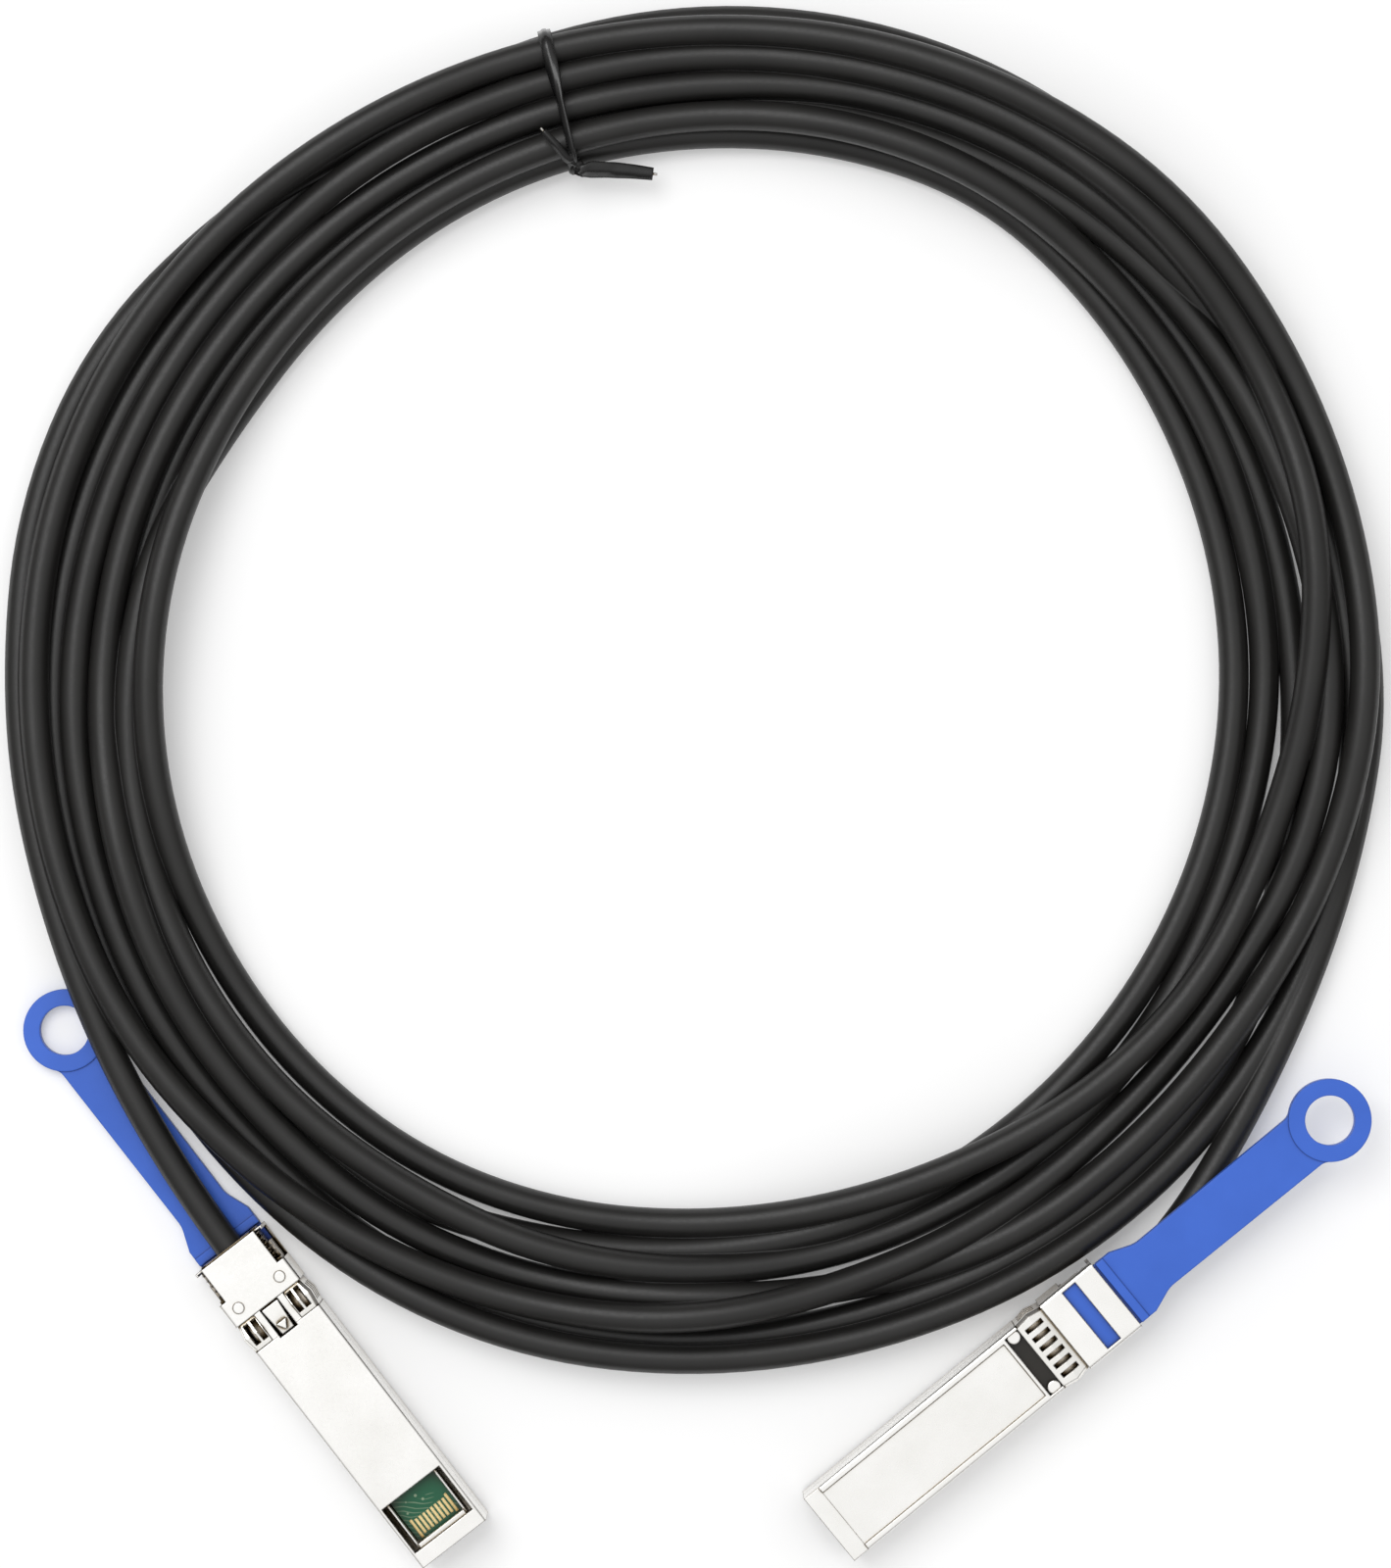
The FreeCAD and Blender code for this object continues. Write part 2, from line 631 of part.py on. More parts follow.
# ---------------------------------------------------------------------------------------
# Latch and release
# ---------------------------------------------------------------------------------------
def make_latch_lever(label, placement):
    """The rocker: boss at the front, hub on the pin, and a ramped tail under the cam bar."""
    body = new_body(label, placement)
    side = new_sketch(body, "XZ_Plane")
    draw_polygon(side, [
        ("latch_tip", "latch_bottom"), ("latch_neck", "latch_bottom"),
        ("latch_neck + 0.2", "under_sleeve + fit_gap"),
        ("latch_pivot + 0.4", "under_sleeve + fit_gap"),
        ("latch_pivot + 1.2", "latch_tail_bottom"),
        ("latch_tail_end", "latch_tail_bottom"),
        ("latch_tail_end", "latch_tail_top + latch_ramp_rise"),
        ("latch_ramp_start", "latch_tail_top"),
        ("latch_pivot + 1.2", "latch_tail_top"),
        ("latch_pivot + 0.2", "latch_top"), ("latch_tip + 0.5", "latch_top"),
        ("latch_tip", "latch_top - 0.5")])
    pad(side, "latch_width", midplane=True)
    hub = new_sketch(body, "XZ_Plane")
    draw_circle(hub, "latch_pivot", "latch_pivot_height", "latch_hub_radius")
    pad(hub, "latch_width", midplane=True)
    # the tongue tapers towards its tip
    for hand in (1, -1):
        taper = new_sketch(body, "XY_Plane", "latch_bottom - 1")
        draw_polygon(taper, [
            ("latch_tip - 1", f"{hand} * latch_tip_width / 2"),
            ("latch_tip", f"{hand} * latch_tip_width / 2"),
            ("latch_neck", f"{hand} * latch_width / 2"),
            ("latch_neck", f"{hand} * latch_width"),
            ("latch_tip - 1", f"{hand} * latch_width")][::hand])
        cut(taper, "latch_top + 2")
    boss = new_sketch(body, "XY_Plane", "-boss_height")
    draw_polygon(boss, [
        ("latch_tip + 0.3", "0"),
        ("latch_tip + 0.3 + boss_length", "-boss_width / 2"),
        ("latch_tip + 0.3 + boss_length", "boss_width / 2")])
    pad(boss, "boss_height + latch_bottom + 0.1")
    hole = new_sketch(body, "XZ_Plane")
    draw_circle(hole, "latch_pivot", "latch_pivot_height",
                "latch_pin_radius + latch_running_gap")
    cut(hole, "latch_width + 1", midplane=True)
    return body


def make_latch_pin(label, placement):
    body = new_body(label, placement)
    sketch = new_sketch(body, "XZ_Plane")
    draw_circle(sketch, "latch_pivot", "latch_pivot_height", "latch_pin_radius")
    pad(sketch, "latch_pin_length", midplane=True)
    return body


def make_latch_spring(label, placement):
    """Bent leaf under the channel's roof that pushes the boss out."""
    body = new_body(label, placement)
    sketch = new_sketch(body, "XZ_Plane")
    roof = "latch_channel_top - fit_gap / 2"
    floor = "latch_top + fit_gap / 2"
    rear = "latch_pivot - latch_hub_radius - latch_spring_setback"
    front = f"{rear} - latch_spring_length"
    draw_polygon(sketch, [
        (front, floor), (f"{front} + 0.6", floor),
        (f"{rear} - 1.4", f"{roof} - latch_spring_sheet"),
        (rear, f"{roof} - latch_spring_sheet"), (rear, roof), (f"{rear} - 1.5", roof),
        (f"{front} + 0.5", f"{floor} + latch_spring_sheet"),
        (front, f"{floor} + latch_spring_sheet")])
    pad(sketch, "latch_spring_width", midplane=True)
    return body


def make_release_slider(label, placement):
    """Steel yoke: deck plate under the tab, two side arms, cam bar and spring fingers."""
    body = new_body(label, placement)
    plate_bottom = "deck + slider_gap"
    plate_top = "deck + slider_gap + slider_sheet"
    side = new_sketch(body, "XZ_Plane")
    draw_polygon(side, [
        ("slider_front", "cam_bar_bottom"),
        ("slider_front + cam_bar_length", "cam_bar_bottom"),
        ("slider_front + cam_bar_length", "arm_bottom"), ("slider_rear", "arm_bottom"),
        ("slider_rear", plate_top), ("slider_front", plate_top)])
    pad(side, "2 * arm_outer", midplane=True)
    # hollow between the arms and under the plate, leaving the cam bar
    inner = "arm_outer - arm_thickness"
    cavity(body, ("slider_front - 1", "slider_rear + 1"), (f"-({inner})", inner),
           ("cam_bar_bottom + cam_bar_height", plate_bottom))
    for low, high in (("spring_offset - spring_reach", "arm_outer - arm_thickness / 2"),
                      ("-(arm_outer - arm_thickness / 2)", "-(spring_offset - spring_reach)")):
        block(body, ("slider_front", "slider_front + cam_bar_length"), (low, high),
              ("spring_height - spring_reach", "spring_height + spring_reach"))
    return body


def make_return_springs(label, placement):
    """Two coil springs that draw the yoke back towards the nose."""
    radius, wire = value("spring_radius"), value("spring_wire_radius")
    front = value("slider_front + cam_bar_length + fit_gap") + wire
    rear = value("sleeve_end - sleeve_sheet - fit_gap") - wire
    turns = int(value("spring_turns"))
    steps = turns * SPRING_STEPS
    path = Part.makePolygon([
        FreeCAD.Vector(front + (rear - front) * i / steps,
                       radius * math.cos(2 * math.pi * i / SPRING_STEPS),
                       radius * math.sin(2 * math.pi * i / SPRING_STEPS))
        for i in range(steps + 1)])
    start = path.Vertexes[0].Point
    heading = (path.Vertexes[1].Point - start).normalize()
    across = FreeCAD.Vector(0, 1, 0)
    beside = heading.cross(across).normalize()
    section = Part.makePolygon([
        start + (across * math.cos(corner * math.pi / 2)
                 + beside * math.sin(corner * math.pi / 2)) * wire
        for corner in range(5)])
    coil = path.makePipeShell([section], True, False, 1)
    springs = []
    for side in (-1, 1):
        spring = coil.copy()
        spring.translate(FreeCAD.Vector(0, side * value("spring_offset"),
                                        value("spring_height")))
        springs.append(spring)
    feature = doc.addObject("Part::Feature", label)
    feature.Label = label
    feature.Shape = Part.makeCompound(springs)
    feature.Placement = placement
    return feature


def make_pull_tab(label, placement):
    """Moulded strap: tongue in the sleeve, lip, tapered shoulders, neck and finger ring."""
    body = new_body(label, placement)
    tongue_bottom = "deck + slider_gap + slider_sheet"
    block(body, ("tab_tongue_front", "lip_front + 0.5"),
          ("-tab_width / 2", "tab_width / 2"),
          (tongue_bottom, f"{tongue_bottom} + tab_tongue_thickness"))
    blade_bottom = "shell_height - tab_thickness"
    block(body, ("lip_front", "lip_front + tab_lip_length"),
          ("-tab_width / 2", "tab_width / 2"),
          ("shell_height - tab_lip_depth", "shell_height + ring_rim"))
    plan = new_sketch(body, "XY_Plane", blade_bottom)
    shoulder = "lip_front + tab_shoulder_length"
    neck = f"{shoulder} + tab_taper_length"
    draw_polygon(plan, [
        ("lip_front + 0.1", "-tab_width / 2"), (shoulder, "-tab_width / 2"),
        (neck, "-tab_neck_width / 2"), ("ring_place - ring_radius / 2", "-tab_neck_end_width / 2"),
        ("ring_place - ring_radius / 2", "tab_neck_end_width / 2"),
        (neck, "tab_neck_width / 2"), (shoulder, "tab_width / 2"),
        ("lip_front + 0.1", "tab_width / 2")])
    pad(plan, "tab_thickness")
    round_edges(body, "tab_shoulder_radius",
                lambda middle, step: straight_along(2, step)
                and abs(middle.x - value(neck)) < 0.01)
    ring = new_sketch(body, "XY_Plane", f"{blade_bottom} - ring_rim")
    draw_circle(ring, "ring_place", "0", "ring_radius")
    pad(ring, "tab_thickness + 2 * ring_rim")
    round_edges(body, "tab_shoulder_radius / 2",
                lambda middle, step: straight_along(2, step)
                and middle.x > value("ring_place - ring_radius") - 3
                and abs(step.z) > value("tab_thickness") - 0.01
                and abs(step.z) < value("tab_thickness") + 0.01)
    hole = new_sketch(body, "XY_Plane", "0")
    draw_circle(hole, "ring_place", "0", "ring_hole_radius")
    cut(hole, "2 * shell_height")
    return body


# ---------------------------------------------------------------------------------------
# Card and cable ends inside the housing
# ---------------------------------------------------------------------------------------
def make_paddle_card(label, placement):
    body = new_body(label, placement)
    sketch = new_sketch(body, "XY_Plane", "card_bottom")
    edge, wide, corner = "card_edge_width / 2", "card_width / 2", "card_corner_cut"
    step = "contact_window_length + 0.4"
    draw_polygon(sketch, [
        ("card_setback", f"{corner} - {edge}"), (f"card_setback + {corner}", f"-{edge}"),
        (step, f"-{edge}"), (step, f"-{wide}"), ("card_end", f"-{wide}"),
        ("card_end", wide), (step, wide), (step, edge),
        (f"card_setback + {corner}", edge), ("card_setback", f"{edge} - {corner}")])
    pad(sketch, "card_thickness")
    return body


def make_card_contacts(label, placement):
    """Ten gold fingers on each face of the card; the outer two of each row are longer."""
    start = value("card_setback + contact_setback")
    count = int(value("contact_count"))
    fingers = []
    for i in range(count):
        outer = i in (0, count - 1)
        inset = 0 if outer else value("contact_stagger") / 2
        length = value("contact_length") - (0 if outer else value("contact_stagger"))
        across = (i - (count - 1) / 2) * value("contact_pitch") - value("contact_width") / 2
        for height in (value("card_bottom - contact_thickness"), value("card_top")):
            fingers.append(Part.makeBox(
                length, value("contact_width"), value("contact_thickness"),
                FreeCAD.Vector(start + inset, across, height)))
    feature = doc.addObject("Part::Feature", label)
    feature.Label = label
    feature.Shape = Part.makeCompound(fingers)
    feature.Placement = placement
    return feature


def make_card_chips(label, placement):
    """The identification chip and the row of coupling capacitors."""
    chips = []

    def chip(name, reach, across, length, width, height):
        box = doc.addObject("Part::Box", f"{label}_{name}")
        box.setExpression("Length", bound(length))
        box.setExpression("Width", bound(width))
        box.setExpression("Height", bound(height))
        box.setExpression("Placement.Base.x", bound(reach))
        box.setExpression("Placement.Base.y", bound(f"{across} - {width} / 2"))
        box.setExpression("Placement.Base.z", bound("card_top"))
        chips.append(box)

    chip("memory", "chip_place", "0", "chip_length", "chip_width", "chip_height")
    for i in range(4):
        chip(f"capacitor_{i + 1}", "capacitor_place", f"({i} - 1.5) * capacitor_pitch",
             "capacitor_length", "capacitor_width", "capacitor_width")
    group = doc.addObject("Part::Compound", label)
    group.Label = label
    group.Links = chips
    group.Placement = placement
    return group


def make_twinax_pairs(label, placement):
    """The two shielded pairs, from the card through the mould to the jacket's end."""
    pairs = []
    for hand, side in (("left", -1), ("right", 1)):
        pair = doc.addObject("Part::Cylinder", f"{label}_{hand}")
        pair.setExpression("Radius", bound("pair_diameter / 2"))
        pair.setExpression("Height", bound("jacket_front - pair_front - fit_gap"))
        pair.Placement = FreeCAD.Placement(FreeCAD.Vector(0, 0, 0),
                                           FreeCAD.Rotation(FreeCAD.Vector(0, 1, 0), 90))
        pair.setExpression("Placement.Base.x", bound("pair_front"))
        pair.setExpression("Placement.Base.y", bound(f"{side} * pair_spread"))
        pair.setExpression("Placement.Base.z", bound("seam"))
        pairs.append(pair)
    group = doc.addObject("Part::Compound", label)
    group.Label = label
    group.Links = pairs
    group.Placement = placement
    return group


def make_inner_mould(label, placement):
    """Black block moulded over the soldered ends, seen in the band's opening."""
    body = new_body(label, placement)
    half = "inner_half - fit_gap"
    block(body, ("mould_front", "mould_end"), (f"-({half})", half),
          ("card_bottom", "shell_height - roof_thickness - mould_top_gap"))
    for side in (-1, 1):
        bore = new_sketch(body, "YZ_Plane", "mould_front - 1")
        draw_circle(bore, f"{side} * pair_spread", "seam", "pair_diameter / 2 + fit_gap / 2")
        cut(bore, "mould_length + 2")
    return body


def make_crimp_ferrule(label, placement):
    body = new_body(label, placement)
    sketch = new_sketch(body, "YZ_Plane", "ferrule_front")
    draw_circle(sketch, "0", "seam", "ferrule_radius")
    draw_circle(sketch, "0", "seam", "ferrule_radius - ferrule_wall")
    pad(sketch, "jacket_front - ferrule_front - 2 * fit_gap")
    return body


# ---------------------------------------------------------------------------------------
# Cable and tie
# ---------------------------------------------------------------------------------------
def make_cable_coil(label):
    """The outer shape of the wound turns, whose section has two flats for each round corner."""
    body = new_body(label, FreeCAD.Placement())
    sketch = new_sketch(body, "XZ_Plane")
    edge, part = "coil_edge_radius", f"{1 - math.sqrt(0.5)} * coil_edge_radius"
    corners = []
    for side, inward in (("coil_inner_radius", 1), ("coil_outer_radius", -1)):
        for level, upward in (("0", 1), ("coil_height", -1)):
            flats = [(f"{side} + {inward} * {across}", f"{level} + {upward} * {up}")
                     for across, up in (("0", edge), (part, part), (edge, "0"))]
            corners.append(flats if inward * upward > 0 else flats[::-1])
    inner_low, inner_high, outer_low, outer_high = corners
    draw_polygon(sketch, inner_low + outer_low + outer_high + inner_high)
    turn = body.newObject("PartDesign::Revolution", f"{label}_turn")
    turn.Profile = sketch
    axis = next(f for f in body.Origin.OriginFeatures if f.Role == "Z_Axis")
    turn.ReferenceAxis = (axis, [""])
    turn.Angle = 360
    return body


def make_cable_tail(label, plug, route):
    """A free end: straight runs joined by tangent arcs, swept with the cable's section."""
    jacket_end = value("jacket_front + fit_gap")
    straight_end = value(f"plug_length + {plug}_straight")
    points = [plug_frames[plug].multVec(FreeCAD.Vector(reach, 0, value("seam")))
              for reach in (jacket_end, straight_end)]
    points += [FreeCAD.Vector(*point) for point in route]
    edges = []
    start = points[0]
    length = 0.0
    for before, corner, after in zip(points, points[1:], points[2:]):
        arriving = (corner - before).normalize()
        leaving = (after - corner).normalize()
        turn = arriving.getAngle(leaving)
        tangent = 0.45 * min((corner - before).Length, (after - corner).Length)
        radius = tangent / math.tan(turn / 2)
        entry, exit_point = corner - arriving * tangent, corner + leaving * tangent
        inward = (leaving - arriving).normalize()
        middle = corner + inward * (radius / math.cos(turn / 2) - radius)
        edges.append(Part.LineSegment(start, entry).toShape())
        edges.append(Part.Arc(entry, middle, exit_point).toShape())
        length += (entry - start).Length + radius * turn
        start = exit_point
        print(f"{label}: turn {math.degrees(turn):.1f} degrees, radius {radius:.0f} mm")
    edges.append(Part.LineSegment(start, points[-1]).toShape())
    length += (points[-1] - start).Length
    path = Part.Wire(edges)
    radius = value("cable_radius")
    heading = (points[1] - points[0]).normalize()
    profile = Part.Wire([Part.makeCircle(radius, points[0], heading)])
    tube = path.makePipeShell([profile], True, False)
    expected = math.pi * radius ** 2 * length
    print(f"{label}: length {length:.1f} mm, volume {tube.Volume:.0f} of {expected:.0f} mm3")
    feature = doc.addObject("Part::Feature", label)
    feature.Label = label
    feature.Shape = tube
    feature.Placement = FreeCAD.Placement()
    return feature


def make_twist_tie(label):
    """Coated wire tie round the bundle, with its knot and flat tail at the inner side."""
    angle = value("tie_angle")
    body = new_body(label, FreeCAD.Placement(
        FreeCAD.Vector(0, 0, 0), FreeCAD.Rotation(FreeCAD.Vector(0, 0, 1), angle)))
    body.setExpression("Placement.Rotation.Angle", bound("tie_angle"))
    loop = new_sketch(body, "XZ_Plane")
    gap = "tie_thickness / 2"
    draw_rectangle(loop, f"coil_inner_radius - {gap}", f"coil_outer_radius + {gap}",
                   "0", f"coil_height + {gap}")
    draw_rectangle(loop, f"coil_inner_radius + {gap}", f"coil_outer_radius - {gap}",
                   "tie_thickness", f"coil_height - {gap}")
    pad(loop, "tie_width", midplane=True)

    def outer(middle):
        return (min(middle.z, value("coil_height") - middle.z) < value("tie_thickness") / 4)

    for radius, wanted in (("tie_corner_radius", True),
                           ("tie_corner_radius - tie_thickness", False)):
        round_edges(body, radius, lambda middle, step: straight_along(1, step)
                    and outer(middle) == wanted)
    knot = new_sketch(body, "XZ_Plane")
    draw_circle(knot, "coil_inner_radius - tie_knot_radius / 2",
                "coil_height - tie_corner_radius", "tie_knot_radius")
    pad(knot, "2 * tie_width", midplane=True)
    tail = new_sketch(body, "XY_Plane", "coil_height - tie_corner_radius - tie_tail_width / 2")
    draw_polygon(tail, [
        ("coil_inner_radius - tie_knot_radius", "0"),
        ("coil_inner_radius - tie_knot_radius - 1", "-tie_tail_length"),
        ("coil_inner_radius - tie_knot_radius - 1 - tie_thickness", "-tie_tail_length"),
        ("coil_inner_radius - tie_knot_radius - 1", "0")])
    pad(tail, "tie_tail_width")
    return body


# ---------------------------------------------------------------------------------------
# The assembly
# ---------------------------------------------------------------------------------------
PLUG_PIECES = {
    "shell_base": make_shell_base,
    "shell_cover": make_shell_cover,
    "emi_collar": make_emi_collar,
    "rear_sleeve": make_rear_sleeve,
    "sleeve_rivets": make_sleeve_rivets,
    "latch_lever": make_latch_lever,
    "latch_pin": make_latch_pin,
    "latch_spring": make_latch_spring,
    "release_slider": make_release_slider,
    "return_springs": make_return_springs,
    "pull_tab": make_pull_tab,
    "paddle_card": make_paddle_card,
    "card_contacts": make_card_contacts,
    "card_chips": make_card_chips,
    "twinax_pairs": make_twinax_pairs,
    "inner_mould": make_inner_mould,
    "crimp_ferrule": make_crimp_ferrule,
}


def plug_placement(plug, face_up):
    """Lays a plug down: on its boss with its face up, or on its collar with its face down."""
    heading = FreeCAD.Rotation(FreeCAD.Vector(0, 0, 1), value(f"{plug}_heading"))
    nose = FreeCAD.Vector(value(f"{plug}_nose_x"), value(f"{plug}_nose_y"), 0)
    if face_up:
        nose.z = value("boss_height + fit_gap")
        return FreeCAD.Placement(nose, heading)
    nose.z = value("shell_height + collar_bulge - collar_front_inset + fit_gap")
    upside_down = FreeCAD.Rotation(FreeCAD.Vector(1, 0, 0), 180)
    return FreeCAD.Placement(nose, heading.multiply(upside_down))


plug_frames = {"plug_a": plug_placement("plug_a", face_up=False),
               "plug_b": plug_placement("plug_b", face_up=True)}
parts = []
for plug, placement in plug_frames.items():
    for piece, make in PLUG_PIECES.items():
        parts.append(make(f"{plug}_{piece}", placement))
parts.append(make_cable_coil("cable_coil"))
parts.append(make_cable_tail("cable_tail_a", "plug_a", TAIL_A))
parts.append(make_cable_tail("cable_tail_b", "plug_b", TAIL_B))
parts.append(make_twist_tie("twist_tie"))
doc.recompute()

for thing in doc.Objects:
    faults = {"Invalid", "Error"} & set(thing.State)
    if faults:
        raise RuntimeError(f"{thing.Label}: {sorted(faults)}")
os.makedirs("parts", exist_ok=True)
for part in parts:
    if part.Shape.isNull() or not part.Shape.isValid():
        raise RuntimeError(f"{part.Label}: bad shape")
    part.Shape.exportStep(os.path.join("parts", f"{part.Label}.step"))
    print(f"{part.Label}: {len(part.Shape.Solids)} solid(s), {part.Shape.Volume:.1f} mm3")
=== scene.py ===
import math

import bmesh
import bpy
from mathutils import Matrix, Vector


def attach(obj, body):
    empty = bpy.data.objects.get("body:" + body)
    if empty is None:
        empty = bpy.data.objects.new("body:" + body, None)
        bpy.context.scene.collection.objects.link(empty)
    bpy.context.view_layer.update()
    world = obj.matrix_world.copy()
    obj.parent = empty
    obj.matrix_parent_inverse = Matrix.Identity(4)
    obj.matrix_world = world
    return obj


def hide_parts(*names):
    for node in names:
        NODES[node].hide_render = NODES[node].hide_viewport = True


# A coiled direct attach copper cable with a pluggable connector on each end, seen from straight above.
# Everything is in metres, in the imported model's frame: z is up and the floor is z = 0.

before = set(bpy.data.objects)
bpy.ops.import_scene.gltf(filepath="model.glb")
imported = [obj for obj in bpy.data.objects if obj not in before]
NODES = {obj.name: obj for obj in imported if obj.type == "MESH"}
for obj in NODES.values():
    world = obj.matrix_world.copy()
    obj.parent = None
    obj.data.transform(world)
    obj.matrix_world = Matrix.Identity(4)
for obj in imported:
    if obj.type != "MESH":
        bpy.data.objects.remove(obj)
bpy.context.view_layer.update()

MM = 0.001
PLUGS = ("plug_a", "plug_b")

# ---------------------------------------------------------------- sizes of the cable

CABLE_DIAMETER = 0.005
CABLE_RADIUS = CABLE_DIAMETER / 2

# where each end leaves its plug, and the loose stretch up to the coil
TAIL_A = [
    (-0.075110, -0.097103, 0.00460),
    (-0.085350, -0.083850, 0.00460),
    (-0.1008, -0.0558, 0.0054),
    (-0.1106, -0.0255, 0.0046),
    (-0.1138, 0.0, 0.0034),
]
TAIL_B = [
    (0.066502, -0.103739, 0.00475),
    (0.076370, -0.095660, 0.00475),
    (0.0901, -0.0756, 0.0034),
    (0.1032, -0.0481, 0.0026),
    (0.1106, -0.0235, 0.0025),
]

# The eight turns, each from six o'clock clockwise round to six o'clock again, as the distance from the
# middle of the coil in millimetres every fifteen degrees. None is where the cable is still on its tail.
STATIONS = 24
FIRST_ANGLE = 180
STEP_ANGLE = 360 / STATIONS
TURNS = [
    [None, None, None, None, None, None, None, 114.5, 114.2, 110.1, 106.6, 104.6,
     103.0, 101.7, 100.9, 100.1, 99.9, 99.9, 100.3, 102.0, 107.5, 108.2, 109.2, 108.3],
    [109.1, 109.2, 107.9, 105.8, 105.1, 104.1, 103.8, 103.1, 102.6, 102.5, 102.8, 103.5,
     105.1, 106.3, 107.9, 108.1, 107.9, 105.9, 101.8, 98.5, 97.2, 94.2, 90.8, 89.3],
    [89.5, 90.5, 91.4, 91.5, 91.4, 91.1, 90.9, 90.6, 90.4, 90.9, 91.9, 93.2,
     95.2, 96.5, 97.1, 96.8, 96.3, 95.6, 95.4, 94.3, 94.6, 95.8, 96.4, 97.2],
    [97.1, 96.8, 95.9, 96.4, 96.3, 95.5, 94.3, 92.7, 89.3, 89.2, 90.3, 91.6,
     92.8, 94.4, 95.8, 93.8, 91.9, 90.8, 90.2, 89.7, 89.7, 90.3, 91.4, 92.9],
    [94.0, 95.6, 98.4, 98.1, 97.6, 96.5, 95.6, 95.3, 94.8, 94.5, 94.8, 96.1,
     97.6, 98.4, 100.1, 102.7, 103.7, 104.3, 105.8, 104.5, 101.4, 100.4, 101.0, 102.0],
    [104.6, 106.3, 107.3, 108.9, 110.4, 110.2, 110.4, 111.0, 110.9, 109.4, 108.1, 108.6,
     109.1, 110.2, 111.3, 112.6, 112.4, 111.8, 111.3, 109.3, 106.3, 105.3, 105.5, 103.3],
    [101.2, 102.3, 102.5, 101.2, 100.6, 99.2, 98.8, 98.2, 97.9, 97.8, 98.1, 98.8,
     100.1, 102.7, 104.3, 105.5, 106.6, 107.9, 109.9, 111.8, 112.3, 112.9, 112.4, 111.9],
    [111.9, 112.4, 111.8, 110.3, 108.6, 107.6, 107.3, 106.9, 106.3, 105.9, 107.4, 109.6,
     111.8, 113.2, 113.7, 112.6, 112.0, 111.7, 112.9, None, None, None, None, None],
]
# which turn lies on which, from the floor up, by the clock angle at which the sector starts
STACKS = {
    0: (1, 8, 4, 5, 7, 3, 2, 6),
    60: (1, 8, 7, 4, 5, 3, 6, 2),
    121: (1, 7, 3, 4, 6, 2, 5, 8),
    180: (5, 2, 8, 4, 3, 7, 6, 1),
    225: (8, 5, 4, 1, 2, 7, 3, 6),
    300: (8, 5, 4, 1, 3, 7, 2, 6),
}
PRESSED_DIAMETER = 0.0045   # turns that cross press a little into each other's jackets
TIE_ANGLE = 347.0


def clock_angle(station):
    """The clock angle in degrees of a station, from 0 at twelve o'clock."""
    return (FIRST_ANGLE + station * STEP_ANGLE) % 360


def stack_at(angle):
    """The turns from the floor up at a clock angle."""
    start = max(a for a in STACKS if a <= angle)
    return STACKS[start]


def floor_lift(angle):
    """How far the tie's own strip holds the turns off the floor at a clock angle."""
    away = abs((angle - TIE_ANGLE + 180) % 360 - 180)
    return 0.0012 if away < 10 else 0.0005 if away < 20 else 0.0


def radius_of(turn, station):
    """A turn's distance from the middle, in metres, or None."""
    r = TURNS[turn - 1][station]
    return None if r is None else r * MM


def settle():
    """The height of every turn at every station: each rests on those below it, or on the floor."""
    heights = {}
    for station in range(STATIONS):
        angle = clock_angle(station)
        laid = []
        for turn in stack_at(angle):
            r = radius_of(turn, station)
            if r is None:
                continue
            z = CABLE_RADIUS + floor_lift(angle)
            for other_r, other_z in laid:
                apart = abs(r - other_r)
                if apart < PRESSED_DIAMETER:
                    z = max(z, other_z + math.sqrt(PRESSED_DIAMETER ** 2 - apart ** 2))
            laid.append((r, z))
            heights[turn, station] = z
    return heights


def coil_points(heights):
    """The coil's control points, turn after turn."""
    # a smooth curve of order 3 runs inside its control points by this share of the radius
    outward = 1 / math.cos(math.radians(STEP_ANGLE / 2))
    points = []
    for turn in range(1, len(TURNS) + 1):
        for station in range(STATIONS):
            r = radius_of(turn, station)
            if r is None:
                continue
            a = math.radians(clock_angle(station))
            points.append((outward * r * math.sin(a), outward * r * math.cos(a), heights[turn, station]))
    return points


def make_cable(heights):
    """The whole cable as one smooth curve, from plug A round the coil to plug B."""
    route = TAIL_A + coil_points(heights) + TAIL_B[::-1]
    data = bpy.data.curves.new("cable", "CURVE")
    data.dimensions = "3D"
    data.resolution_u = 8
    data.bevel_depth = CABLE_RADIUS
    data.bevel_resolution = 5
    spline = data.splines.new("NURBS")
    spline.points.add(len(route) - 1)
    for point, place in zip(spline.points, route):
        point.co = (*place, 1.0)
    spline.order_u = 3
    spline.use_endpoint_u = True
    spline.use_smooth = True
    cable = bpy.data.objects.new("cable", data)
    bpy.context.scene.collection.objects.link(cable)
    return cable


# ---------------------------------------------------------------- the twist tie

TIE_THICKNESS = 0.0009
TIE_WIDTH = 0.0022
TIE_KNOT_WIDTH = 0.0017
TIE_CLEARANCE = 0.00005
TIE_LEAN = 1.15              # how far the strip has turned on its edge, in radians, near the knot
TIE_FLAT_DOWN_TO = 0.1080    # it lies flat out to the rim from here, and has turned a little further in
TIE_TURNED_AT = 0.1000
TIE_LEANS_ABOVE = 0.0085     # only over the bundle, which is above this height
TIE_LEANS_WITHIN = 0.0004    # and this close to the line out from the coil's middle
WIRE_RADIUS = 0.00022
WIRE_OUT = 0.0007
